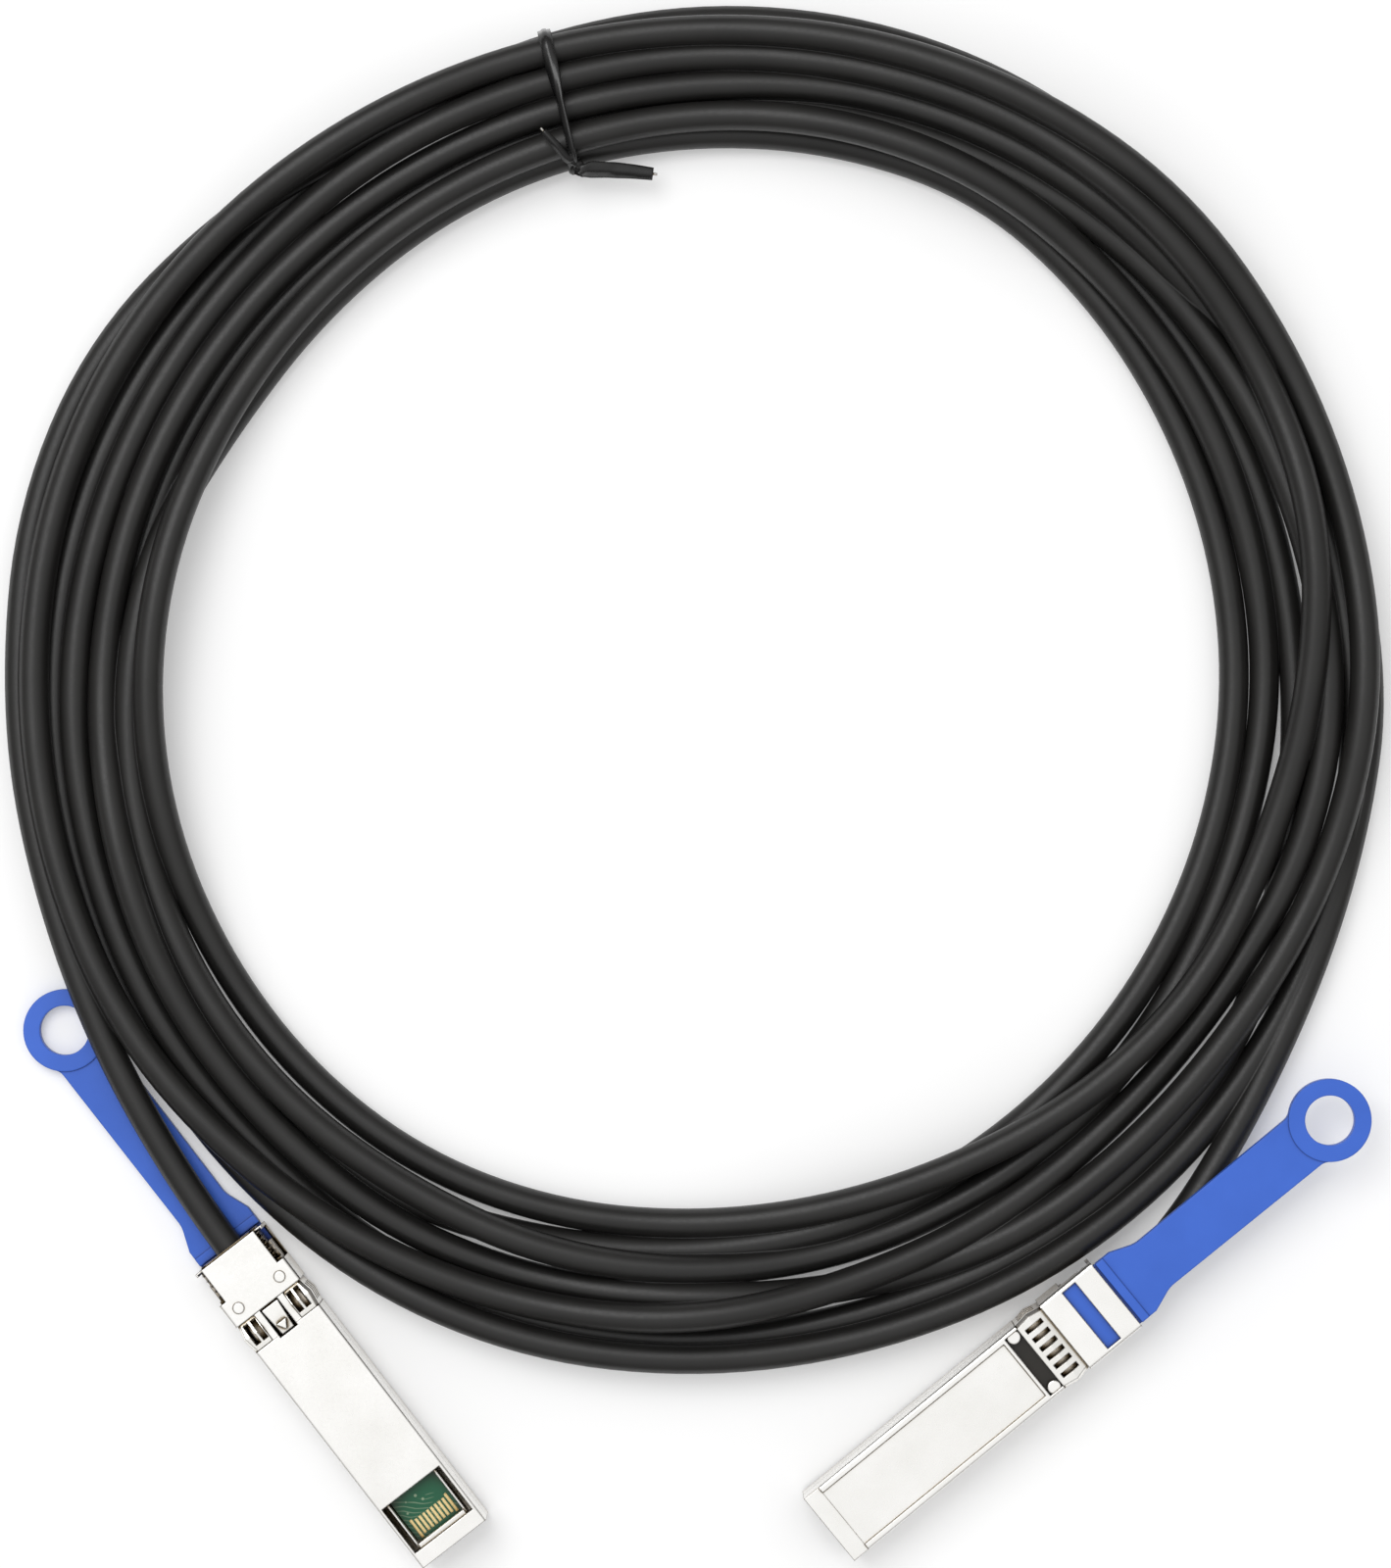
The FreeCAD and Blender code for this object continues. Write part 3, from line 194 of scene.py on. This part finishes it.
# the strip's half section, across and up as shares of its width and thickness: thin wings and a wire core
TIE_SECTION = [(0.5, 0.2), (0.24, 0.26), (0.14, 0.46), (0.0, 0.5), (-0.14, 0.46), (-0.24, 0.26), (-0.5, 0.2)]
# points of the strip's two ends in the tie's own frame: outward, clockwise and up, in metres
KNOT_FOOT = Vector((0.0888, 0.0001, 0.0050))
KNOT_HEAD = Vector((0.0884, 0.0006, 0.0080))
KNOT_RADIUS = 0.00060
KNOT_TURNS = 1.5
KNOT_STEPS = 18
LONG_TAIL = [
    Vector((0.0881, 0.0022, 0.0074)),
    Vector((0.0873, 0.0060, 0.0062)),
    Vector((0.0864, 0.0092, 0.0056)),
    Vector((0.0853, 0.0124, 0.0052)),
]
LONG_TAIL_WIDTHS = 0.0030, 0.0021
LONG_TAIL_TILT = 0.25        # how much the long tail's width rises outward
SHORT_TAIL = [
    Vector((0.0903, -0.0010, 0.0100)),
    Vector((0.0929, -0.0024, 0.0118)),
    Vector((0.0953, -0.0038, 0.0122)),
]
SHORT_TAIL_WIDTHS = 0.0016, 0.0011
TIE_SPACING = 0.0003         # between the points that the strip is swept along
TIE_EASINGS = 6              # how often its corners are rounded off


def tie_place(local):
    """A point or direction of the tie's own frame in the model's frame."""
    a = math.radians(TIE_ANGLE)
    out = Vector((math.sin(a), math.cos(a), 0))
    clockwise = Vector((math.cos(a), -math.sin(a), 0))
    return out * local.x + clockwise * local.y + Vector((0, 0, local.z))


def turns_under_tie(heights):
    """The middle of each turn where the tie crosses it, as distance and height."""
    station = round((TIE_ANGLE - FIRST_ANGLE) / STEP_ANGLE)
    off = (TIE_ANGLE - FIRST_ANGLE) / STEP_ANGLE - station
    shares = ((station - 1, (0.5 - off) ** 2 / 2), (station, 0.75 - off ** 2),
              (station + 1, (0.5 + off) ** 2 / 2))
    return [(sum(share * radius_of(turn, at) for at, share in shares),
             sum(share * heights[turn, at] for at, share in shares))
            for turn in range(1, len(TURNS) + 1)]


def outline_round(turns, offset, steps=24):
    """The tight loop round a bundle of turns, a distance off their jackets, from below and anticlockwise."""
    angles = [2 * math.pi * i / steps for i in range(steps)]
    cloud = sorted((r + offset * math.cos(a), z + offset * math.sin(a)) for r, z in turns for a in angles)

    def half(points):
        kept = []
        for p in points:
            while len(kept) > 1 and ((kept[-1][0] - kept[-2][0]) * (p[1] - kept[-2][1])
                                     - (kept[-1][1] - kept[-2][1]) * (p[0] - kept[-2][0])) <= 0:
                kept.pop()
            kept.append(p)
        return kept[:-1]

    return half(cloud) + half(cloud[::-1])


def spaced_evenly(points, gap):
    """The same line with a point every gap."""
    line = [points[0]]
    for start, end in zip(points, points[1:]):
        count = max(1, round((end - start).length / gap))
        line += [start.lerp(end, (i + 1) / count) for i in range(count)]
    return line


def eased(points, times):
    """The same line with its corners rounded off a little; both ends stay."""
    for _ in range(times):
        inner = [(a + 2 * b + c) / 4 for a, b, c in zip(points, points[1:], points[2:])]
        points = [points[0], *inner, points[-1]]
    return points


def knot_strand(phase):
    """One strand of the knot, from its foot to its head."""
    axis = KNOT_HEAD - KNOT_FOOT
    across = axis.orthogonal().normalized()
    beside = axis.normalized().cross(across)
    line = []
    for i in range(KNOT_STEPS + 1):
        turn = phase + 2 * math.pi * KNOT_TURNS * i / KNOT_STEPS
        sideways = (across * math.cos(turn) + beside * math.sin(turn)) * KNOT_RADIUS
        line.append(KNOT_FOOT + axis * i / KNOT_STEPS + sideways)
    return line


def with_width(points, first, last):
    """The same points, each with the strip's width there as a fourth number."""
    steps = len(points) - 1
    return [Vector((*point, first + (last - first) * i / steps)) for i, point in enumerate(points)]


def tie_line(heights):
    """The strip's middle line in the tie's frame: long tail, knot, round the bundle, knot, short tail."""
    ring = [Vector((r, 0, z)) for r, z in
            outline_round(turns_under_tie(heights), CABLE_RADIUS + TIE_CLEARANCE + TIE_THICKNESS / 2)]
    nearest = min(range(len(ring)), key=lambda i: (ring[i] - KNOT_FOOT).length)
    ring = ring[nearest + 1:] + ring[:nearest]     # opened where the knot is, from below round to above
    first, second = knot_strand(0), knot_strand(math.pi)
    line = [*with_width(LONG_TAIL, *LONG_TAIL_WIDTHS)[::-1],
            *with_width(first[::-1], TIE_KNOT_WIDTH, TIE_KNOT_WIDTH),
            *with_width(ring, TIE_WIDTH, TIE_WIDTH),
            *with_width(second, TIE_KNOT_WIDTH, TIE_KNOT_WIDTH),
            *with_width(SHORT_TAIL, *SHORT_TAIL_WIDTHS)]
    return eased(spaced_evenly(line, TIE_SPACING), TIE_EASINGS)


def lean_at(point):
    """How far the strip has turned on its edge: over the bundle only, from the rim inwards."""
    if point.z < TIE_LEANS_ABOVE or abs(point.y) > TIE_LEANS_WITHIN:
        return 0.0
    share = (TIE_FLAT_DOWN_TO - point.x) / (TIE_FLAT_DOWN_TO - TIE_TURNED_AT)
    return TIE_LEAN * min(1.0, max(0.0, share))


def tie_frame(points, i):
    """The middle of the strip at a point and the directions of its width and its thickness."""
    point = points[i].to_3d()
    ahead = (points[min(i + 1, len(points) - 1)] - points[max(i - 1, 0)]).to_3d().normalized()
    across = Vector((0, 1, 0)) - ahead * ahead.y
    if across.length < 0.5:      # the long tail runs clockwise itself, and lies flat
        level = Vector((1, 0, LONG_TAIL_TILT)) - ahead * (ahead.x + LONG_TAIL_TILT * ahead.z)
        across = across + level * (1 - 2 * across.length)
    across.normalize()
    outward = across.cross(ahead)
    lean = lean_at(point)
    lift = math.sin(lean) * (points[i].w - TIE_THICKNESS) / 2
    turned = across * math.cos(lean) + outward * math.sin(lean)
    return point + outward * lift, turned, turned.cross(ahead)


def make_tie(heights):
    """The coated strip as one mesh, swept along its line."""
    points = tie_line(heights)
    section = TIE_SECTION + [(-across, -up) for across, up in TIE_SECTION]
    mesh = bmesh.new()
    rings = []
    for i in range(len(points)):
        middle, across, up = tie_frame(points, i)
        rings.append([mesh.verts.new(tie_place(middle + across * a * points[i].w + up * u * TIE_THICKNESS))
                      for a, u in section])
    count = len(section)
    for one, other in zip(rings, rings[1:]):
        for k in range(count):
            mesh.faces.new((one[k], other[k], other[(k + 1) % count], one[(k + 1) % count]))
    mesh.faces.new(rings[0])
    mesh.faces.new(rings[-1][::-1])
    bmesh.ops.recalc_face_normals(mesh, faces=mesh.faces)
    data = bpy.data.meshes.new("tie_strip")
    mesh.to_mesh(data)
    mesh.free()
    data.shade_smooth()
    tie = bpy.data.objects.new("tie_strip", data)
    bpy.context.scene.collection.objects.link(tie)
    return tie


def make_tie_wire(heights):
    """The strip's wire core, where it comes out of both ends."""
    points = [point.to_3d() for point in tie_line(heights)]
    curve = bpy.data.curves.new("tie_wire", "CURVE")
    curve.dimensions = "3D"
    curve.bevel_depth = WIRE_RADIUS
    curve.bevel_resolution = 3
    curve.use_fill_caps = True
    for last, before in ((points[0], points[3]), (points[-1], points[-4])):
        out = (last - before).normalized()
        spline = curve.splines.new("POLY")
        spline.points.add(2)
        for point, along in zip(spline.points, (-WIRE_OUT, WIRE_OUT / 2, WIRE_OUT)):
            point.co = (*tie_place(last + out * along), 1)
    wire = bpy.data.objects.new("tie_wire", curve)
    bpy.context.scene.collection.objects.link(wire)
    return wire


# ---------------------------------------------------------------- lugs at the ends of the dark band

PLUG_NOSE = {"plug_a": (-0.0401, -0.1424), "plug_b": (0.0222, -0.1400)}
PLUG_HEADING = {"plug_a": 127.7, "plug_b": 39.3}
LUG_REACH = 0.04400      # from the plug's nose to the middle of the band
LUG_SPREAD = 0.00535     # from the plug's middle line to the middle of a lug
LUG_RADIUS = 0.0012
LUG_HEIGHT = 0.00055
LUG_ROUNDING = 0.00022
LUG_SIDES = 32
LUG_FOOT = {"plug_a": 0.00100, "plug_b": 0.00835}    # plug A lies with this face down


def make_lug(name, place, foot, height):
    """A round cast lug with a softened rim; a negative height hangs it from its foot."""
    top = abs(height)
    half_way = 0.3 * LUG_ROUNDING     # the rounded rim's middle lies this far in and down
    profile = ((LUG_RADIUS, 0.0), (LUG_RADIUS, top - LUG_ROUNDING),
               (LUG_RADIUS - half_way, top - half_way), (LUG_RADIUS - LUG_ROUNDING, top))
    angles = [2 * math.pi * i / LUG_SIDES for i in range(LUG_SIDES)]
    mesh = bmesh.new()
    rings = []
    for radius, up in profile:
        z = foot + math.copysign(up, height)
        rings.append([mesh.verts.new((place[0] + radius * math.cos(a), place[1] + radius * math.sin(a), z))
                      for a in angles])
    for one, other in zip(rings, rings[1:]):
        for i in range(LUG_SIDES):
            after = (i + 1) % LUG_SIDES
            mesh.faces.new((one[i], one[after], other[after], other[i]))
    mesh.faces.new(rings[0][::-1])
    mesh.faces.new(rings[-1])
    bmesh.ops.recalc_face_normals(mesh, faces=mesh.faces)
    data = bpy.data.meshes.new(name)
    mesh.to_mesh(data)
    mesh.free()
    lug = bpy.data.objects.new(name, data)
    bpy.context.scene.collection.objects.link(lug)
    return lug


def make_lugs(plug):
    """The two lugs of a plug, one at each end of its dark band."""
    heading = math.radians(PLUG_HEADING[plug])
    along = Vector((math.cos(heading), math.sin(heading)))
    beside = Vector((-along.y, along.x))
    height = -LUG_HEIGHT if plug == "plug_a" else LUG_HEIGHT
    middle = Vector(PLUG_NOSE[plug]) + along * LUG_REACH
    return [make_lug(f"{plug}_lug_{side}", middle + beside * sign * LUG_SPREAD, LUG_FOOT[plug], height)
            for side, sign in (("left", 1), ("right", -1))]


# ---------------------------------------------------------------- materials

def new_material(name, colour, roughness, metallic=0.0):
    """A material, its node tree and its shader."""
    material = bpy.data.materials.new(name)
    material.use_nodes = True
    tree = material.node_tree
    shader = tree.nodes["Principled BSDF"]
    shader.inputs["Base Color"].default_value = (*colour, 1)
    shader.inputs["Roughness"].default_value = roughness
    shader.inputs["Metallic"].default_value = metallic
    return material, tree, shader


def noise(tree, scale, detail):
    """A noise pattern over the object's own coordinates; scale is in features per metre."""
    place = tree.nodes.new("ShaderNodeTexCoord")
    pattern = tree.nodes.new("ShaderNodeTexNoise")
    pattern.inputs["Scale"].default_value = scale
    pattern.inputs["Detail"].default_value = detail
    tree.links.new(place.outputs["Object"], pattern.inputs["Vector"])
    return pattern


def ranged(tree, socket, from_low, from_high, low, high):
    """A value's range, stretched to run from low to high."""
    node = tree.nodes.new("ShaderNodeMapRange")
    node.inputs["From Min"].default_value = from_low
    node.inputs["From Max"].default_value = from_high
    node.inputs["To Min"].default_value = low
    node.inputs["To Max"].default_value = high
    tree.links.new(socket, node.inputs["Value"])
    return node.outputs["Result"]


def blend_colours(tree, factor, low, high):
    """A colour from low to high along a factor; each is a colour or another node's output."""
    mix = tree.nodes.new("ShaderNodeMix")
    mix.data_type = "RGBA"
    tree.links.new(factor, mix.inputs["Factor"])
    for name, colour in (("A", low), ("B", high)):
        if isinstance(colour, tuple):
            mix.inputs[name].default_value = (*colour, 1)
        else:
            tree.links.new(colour, mix.inputs[name])
    return mix.outputs["Result"]


def multiply_colours(tree, one, other):
    """The product of two colours."""
    mix = tree.nodes.new("ShaderNodeMix")
    mix.data_type = "RGBA"
    mix.blend_type = "MULTIPLY"
    mix.inputs["Factor"].default_value = 1.0
    tree.links.new(one, mix.inputs["A"])
    tree.links.new(other, mix.inputs["B"])
    return mix.outputs["Result"]


def rounded(tree, radius):
    """The surface's direction with its sharp edges rounded off."""
    bevel = tree.nodes.new("ShaderNodeBevel")
    bevel.samples = 6
    bevel.inputs["Radius"].default_value = radius
    return bevel.outputs["Normal"]


def add_relief(tree, shader, pattern, depth, normal):
    """Relief of a depth in metres along the pattern, over rounded edges."""
    bump = tree.nodes.new("ShaderNodeBump")
    bump.inputs["Strength"].default_value = 0.3
    bump.inputs["Distance"].default_value = depth
    tree.links.new(pattern.outputs["Fac"], bump.inputs["Height"])
    tree.links.new(normal, bump.inputs["Normal"])
    tree.links.new(bump.outputs["Normal"], shader.inputs["Normal"])


def openness(tree, reach):
    """How open a place is, from 0 deep in a slot to 1 on an open face."""
    shade = tree.nodes.new("ShaderNodeAmbientOcclusion")
    shade.samples = 8
    shade.inputs["Distance"].default_value = reach
    return shade.outputs["AO"]


def along_edges(tree, normal):
    """1 along sharp edges, 0 on flat faces."""
    surface = tree.nodes.new("ShaderNodeNewGeometry")
    dot = tree.nodes.new("ShaderNodeVectorMath")
    dot.operation = "DOT_PRODUCT"
    tree.links.new(normal, dot.inputs[0])
    tree.links.new(surface.outputs["True Normal"], dot.inputs[1])
    return ranged(tree, dot.outputs["Value"], 0.86, 0.985, 1.0, 0.0)


METAL_ROUNDING = 0.0003
PLASTIC_ROUNDING = 0.00035
BOARD_ROUNDING = 0.0001
SLOT_REACH = 0.0016               # how far off a wall the painted shade of a slot reaches
SIDE_REACH = 0.006                # and how far off a wall or the floor the painted shade on the metal beside it reaches
WHITE = (1.0, 1.0, 1.0)
SIDE_SHADE = (0.50, 0.44, 0.36)    # painted shade on metal that faces the floor or a neighbour close by


def metal(name, dark, light, smooth, rough, grain, edge=(0.13, 0.092, 0.045), hollow_shade=(0.27, 0.19, 0.08),
          deep=(0.012, 0.009, 0.006)):
    """Bare or plated metal: tint and gloss wander; painted shade darkens its sharp edges, hollows and slots,
    and metal close to the floor or a neighbour.
    """
    material, tree, shader = new_material(name, light, smooth, 1.0)
    normal = rounded(tree, METAL_ROUNDING)
    cloud = noise(tree, 120, 4)
    clean = blend_colours(tree, ranged(tree, cloud.outputs["Fac"], 0.3, 0.7, 0, 1), dark, light)
    # painted shade: a dark line in the edge colour along every sharp edge
    edge_shaded = blend_colours(tree, along_edges(tree, normal), clean, edge)
    # painted shade: near a wall the metal takes the hollow colour, and deep in a slot the deep colour
    open_share = openness(tree, SLOT_REACH)
    shaded = blend_colours(tree, ranged(tree, open_share, 0.70, 0.90, 0.0, 1.0), hollow_shade, edge_shaded)
    slot_shaded = blend_colours(tree, ranged(tree, open_share, 0.52, 0.78, 0.0, 1.0), deep, shaded)
    # painted shade: metal close to the floor or a neighbour is darkened and tinted beige
    clear = ranged(tree, openness(tree, SIDE_REACH), 0.30, 0.85, 0.0, 1.0)
    near = blend_colours(tree, clear, SIDE_SHADE, WHITE)
    colour = multiply_colours(tree, slot_shaded, near)
    tree.links.new(colour, shader.inputs["Base Color"])
    fine = noise(tree, grain, 2)
    tree.links.new(ranged(tree, fine.outputs["Fac"], 0.3, 0.7, smooth, rough), shader.inputs["Roughness"])
    add_relief(tree, shader, fine, 0.000001, normal)
    return material


PLASTIC_RELIEF = 0.00003


def plastic(name, dark, light, smooth, rough, grain, specular=0.5, hollow_shade=None):
    """Moulded or extruded plastic with a fine skin; given a hollow colour, its corners and slots get painted
    shade.
    """
    material, tree, shader = new_material(name, light, smooth)
    cloud = noise(tree, 90, 4)
    colour = blend_colours(tree, ranged(tree, cloud.outputs["Fac"], 0.3, 0.7, 0, 1), dark, light)
    if hollow_shade:
        # painted shade: corners and slots darken towards the hollow colour
        clear = ranged(tree, openness(tree, 0.0012), 0.45, 0.95, 0.0, 1.0)
        colour = blend_colours(tree, clear, hollow_shade, colour)
    tree.links.new(colour, shader.inputs["Base Color"])
    shader.inputs["Specular IOR Level"].default_value = specular
    fine = noise(tree, grain, 3)
    tree.links.new(ranged(tree, fine.outputs["Fac"], 0.3, 0.7, smooth, rough), shader.inputs["Roughness"])
    add_relief(tree, shader, fine, PLASTIC_RELIEF, rounded(tree, PLASTIC_ROUNDING))
    return material


BOARD_WALL_SHADE = (0.016, 0.014, 0.006)    # painted shade on the board close to the housing's walls


def circuit_board(name, mask, copper):
    """Green solder mask with paler traces that run in bent lines under it, and a few plated holes; painted
    shade darkens it close to the housing's walls.
    """
    material, tree, shader = new_material(name, mask, 0.3)
    place = tree.nodes.new("ShaderNodeTexCoord")
    lines = tree.nodes.new("ShaderNodeTexWave")
    lines.wave_type = "RINGS"
    lines.inputs["Scale"].default_value = 420
    lines.inputs["Distortion"].default_value = 9
    lines.inputs["Detail"].default_value = 1
    lines.inputs["Detail Scale"].default_value = 0.6
    tree.links.new(place.outputs["Object"], lines.inputs["Vector"])
    holes = tree.nodes.new("ShaderNodeTexVoronoi")
    holes.inputs["Scale"].default_value = 520
    tree.links.new(place.outputs["Object"], holes.inputs["Vector"])
    patch = noise(tree, 260, 1)
    where = ranged(tree, patch.outputs["Fac"], 0.48, 0.56, 0.0, 1.0)
    traced = blend_colours(tree, ranged(tree, lines.outputs["Fac"], 0.86, 0.97, 0.0, 0.55), mask, copper)
    laid = blend_colours(tree, where, mask, traced)
    pierced = blend_colours(tree, ranged(tree, holes.outputs["Distance"], 0.10, 0.16, 0.8, 0.0), laid, copper)
    # painted shade: the board darkens close to the housing's walls
    clear = ranged(tree, openness(tree, 0.0035), 0.25, 0.80, 0.0, 1.0)
    colour = blend_colours(tree, clear, BOARD_WALL_SHADE, pierced)
    tree.links.new(colour, shader.inputs["Base Color"])
    shader.inputs["Specular IOR Level"].default_value = 0.35
    add_relief(tree, shader, lines, 0.00001, rounded(tree, BOARD_ROUNDING))
    return material


def make_materials():
    """One material for each slot."""
    return {
        "cast_zinc": metal("cast_zinc", (0.86, 0.85, 0.82), (0.93, 0.92, 0.90), 0.26, 0.32, 1800),
        "spring_sheet": metal("spring_sheet", (0.84, 0.83, 0.79), (0.93, 0.92, 0.89), 0.20, 0.26, 2600),
        "nickel_sheet": metal("nickel_sheet", (0.88, 0.87, 0.84), (0.95, 0.94, 0.92), 0.22, 0.28, 2200),
        "steel_sheet": metal("steel_sheet", (0.70, 0.69, 0.66), (0.84, 0.83, 0.80), 0.22, 0.32, 2400),
        "steel_wire": metal("steel_wire", (0.62, 0.61, 0.59), (0.78, 0.77, 0.75), 0.16, 0.24, 3000),
        "gold_plate": metal("gold_plate", (0.90, 0.68, 0.30), (0.98, 0.80, 0.42), 0.18, 0.26, 2600,
                            edge=(0.72, 0.46, 0.14), hollow_shade=(0.70, 0.46, 0.16), deep=(0.30, 0.18, 0.05)),
        "pair_foil": metal("pair_foil", (0.62, 0.62, 0.62), (0.80, 0.80, 0.80), 0.22, 0.42, 1500),
        "blue_plastic": plastic("blue_plastic", (0.034, 0.115, 0.53), (0.042, 0.135, 0.60), 0.34, 0.46, 3500,
                                specular=0.4, hollow_shade=(0.010, 0.035, 0.20)),
        "green_board": circuit_board("green_board", (0.012, 0.100, 0.048), (0.28, 0.36, 0.24)),
        "chip_resin": plastic("chip_resin", (0.012, 0.012, 0.013), (0.022, 0.022, 0.024), 0.45, 0.6, 4000),
        "black_mould": plastic("black_mould", (0.010, 0.008, 0.006), (0.018, 0.015, 0.011), 0.36, 0.50, 3000,
                               specular=0.4),
        "cable_jacket": plastic("cable_jacket", (0.0088, 0.0084, 0.0080), (0.0125, 0.0120, 0.0112),
                                0.36, 0.46, 2200, specular=0.42),
        "tie_plastic": plastic("tie_plastic", (0.006, 0.006, 0.006), (0.011, 0.011, 0.011),
                               0.20, 0.30, 3000),
    }


SLOT_OF = {
    "shell_base": "cast_zinc",
    "shell_cover": "cast_zinc",
    "emi_collar": "spring_sheet",
    "rear_sleeve": "nickel_sheet",
    "sleeve_rivets": "nickel_sheet",
    "latch_lever": "nickel_sheet",
    "latch_pin": "steel_wire",
    "latch_spring": "steel_wire",
    "return_springs": "steel_wire",
    "release_slider": "steel_sheet",
    "crimp_ferrule": "steel_sheet",
    "pull_tab": "blue_plastic",
    "paddle_card": "green_board",
    "card_contacts": "gold_plate",
    "card_chips": "chip_resin",
    "twinax_pairs": "pair_foil",
    "inner_mould": "black_mould",
}


def dress(obj, material):
    """Gives an object one material."""
    obj.data.materials.clear()
    obj.data.materials.append(material)


# ---------------------------------------------------------------- stage

FLOOR_HALF = 3.0
FLOOR_SHADE = (0.76, 0.76, 0.76)
FLOOR_GLOW = 0.22
KEY_PLACE = (-0.35, 0.4, 0.95)
KEY_SIZE = 0.7
KEY_POWER = 5


def make_floor():
    """A plain pale floor, far larger than the picture."""
    mesh = bpy.data.meshes.new("floor")
    half = FLOOR_HALF
    corners = [(-half, -half, 0), (half, -half, 0), (half, half, 0), (-half, half, 0)]
    mesh.from_pydata(corners, [], [(0, 1, 2, 3)])
    floor = bpy.data.objects.new("floor", mesh)
    bpy.context.scene.collection.objects.link(floor)
    material, tree, shader = new_material("floor_paint", FLOOR_SHADE, 0.9)
    shader.inputs["Specular IOR Level"].default_value = 0.1
    # what the camera and the metal see of the floor is a little paler, so that its shadows stay faint
    shader.inputs["Emission Color"].default_value = (1, 1, 1, 1)
    path = tree.nodes.new("ShaderNodeLightPath")
    seen = path.outputs["Is Camera Ray"]
    for ray in ("Is Glossy Ray", "Is Transmission Ray"):
        either = tree.nodes.new("ShaderNodeMath")
        either.operation = "MAXIMUM"
        tree.links.new(seen, either.inputs[0])
        tree.links.new(path.outputs[ray], either.inputs[1])
        seen = either.outputs["Value"]
    tree.links.new(ranged(tree, seen, 0, 1, 0, FLOOR_GLOW), shader.inputs["Emission Strength"])
    dress(floor, material)


def area_lamp(name, place, target, size, power):
    """A square soft lamp that points at a target."""
    data = bpy.data.lights.new(name, "AREA")
    data.size = size
    data.energy = power
    lamp = bpy.data.objects.new(name, data)
    lamp.location = place
    lamp.rotation_mode = "QUATERNION"
    lamp.rotation_quaternion = (Vector(target) - Vector(place)).to_track_quat("-Z", "Y")
    bpy.context.scene.collection.objects.link(lamp)


def make_world():
    """Even pale light all round, with a darker horizon in what shiny surfaces reflect."""
    world = bpy.data.worlds.new("studio")
    bpy.context.scene.world = world
    world.use_nodes = True
    tree = world.node_tree
    back = tree.nodes["Background"]
    place = tree.nodes.new("ShaderNodeTexCoord")
    split = tree.nodes.new("ShaderNodeSeparateXYZ")
    ramp = tree.nodes.new("ShaderNodeValToRGB")
    ramp.color_ramp.elements[0].position = 0.25
    ramp.color_ramp.elements[0].color = (0.22, 0.21, 0.20, 1)
    ramp.color_ramp.elements[1].position = 0.95
    ramp.color_ramp.elements[1].color = (1.0, 1.0, 1.0, 1)
    path = tree.nodes.new("ShaderNodeLightPath")
    mix = tree.nodes.new("ShaderNodeMix")
    mix.data_type = "RGBA"
    mix.inputs["A"].default_value = (0.80, 0.80, 0.80, 1)
    tree.links.new(place.outputs["Generated"], split.inputs["Vector"])
    tree.links.new(split.outputs["Z"], ramp.inputs["Fac"])
    tree.links.new(path.outputs["Is Glossy Ray"], mix.inputs["Factor"])
    tree.links.new(ramp.outputs["Color"], mix.inputs["B"])
    tree.links.new(mix.outputs["Result"], back.inputs["Color"])
    back.inputs["Strength"].default_value = 1.0


def make_camera():
    """Straight above the coil, framed as the photograph is: 232 mm across and 261.6 mm down."""
    view_height = 0.2616
    middle = (0.0, -0.0160)
    data = bpy.data.cameras.new("camera")
    data.lens = 100
    data.sensor_width = 36
    data.clip_start = 0.01
    data.clip_end = 20
    camera = bpy.data.objects.new("camera", data)
    seen_at = 0.006
    camera.location = (*middle, seen_at + view_height * data.lens / data.sensor_width)
    bpy.context.scene.collection.objects.link(camera)
    bpy.context.scene.camera = camera


# ---------------------------------------------------------------- putting it together

materials = make_materials()
for plug in PLUGS:
    for piece, slot in SLOT_OF.items():
        dress(NODES[f"{plug}_{piece}"], materials[slot])
    for lug in make_lugs(plug):
        dress(lug, materials["cast_zinc"])
        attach(lug, "root")

heights = settle()
tie = make_tie(heights)
dress(tie, materials["tie_plastic"])
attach(tie, "root")
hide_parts("twist_tie")
wire = make_tie_wire(heights)
dress(wire, materials["steel_wire"])
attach(wire, "root")

cable = make_cable(heights)
dress(cable, materials["cable_jacket"])
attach(cable, "root")
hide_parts("cable_coil", "cable_tail_a", "cable_tail_b")

make_floor()
make_world()
make_camera()
area_lamp("key", KEY_PLACE, (0, 0, 0), KEY_SIZE, KEY_POWER)

bpy.context.scene.view_settings.view_transform = "Standard"
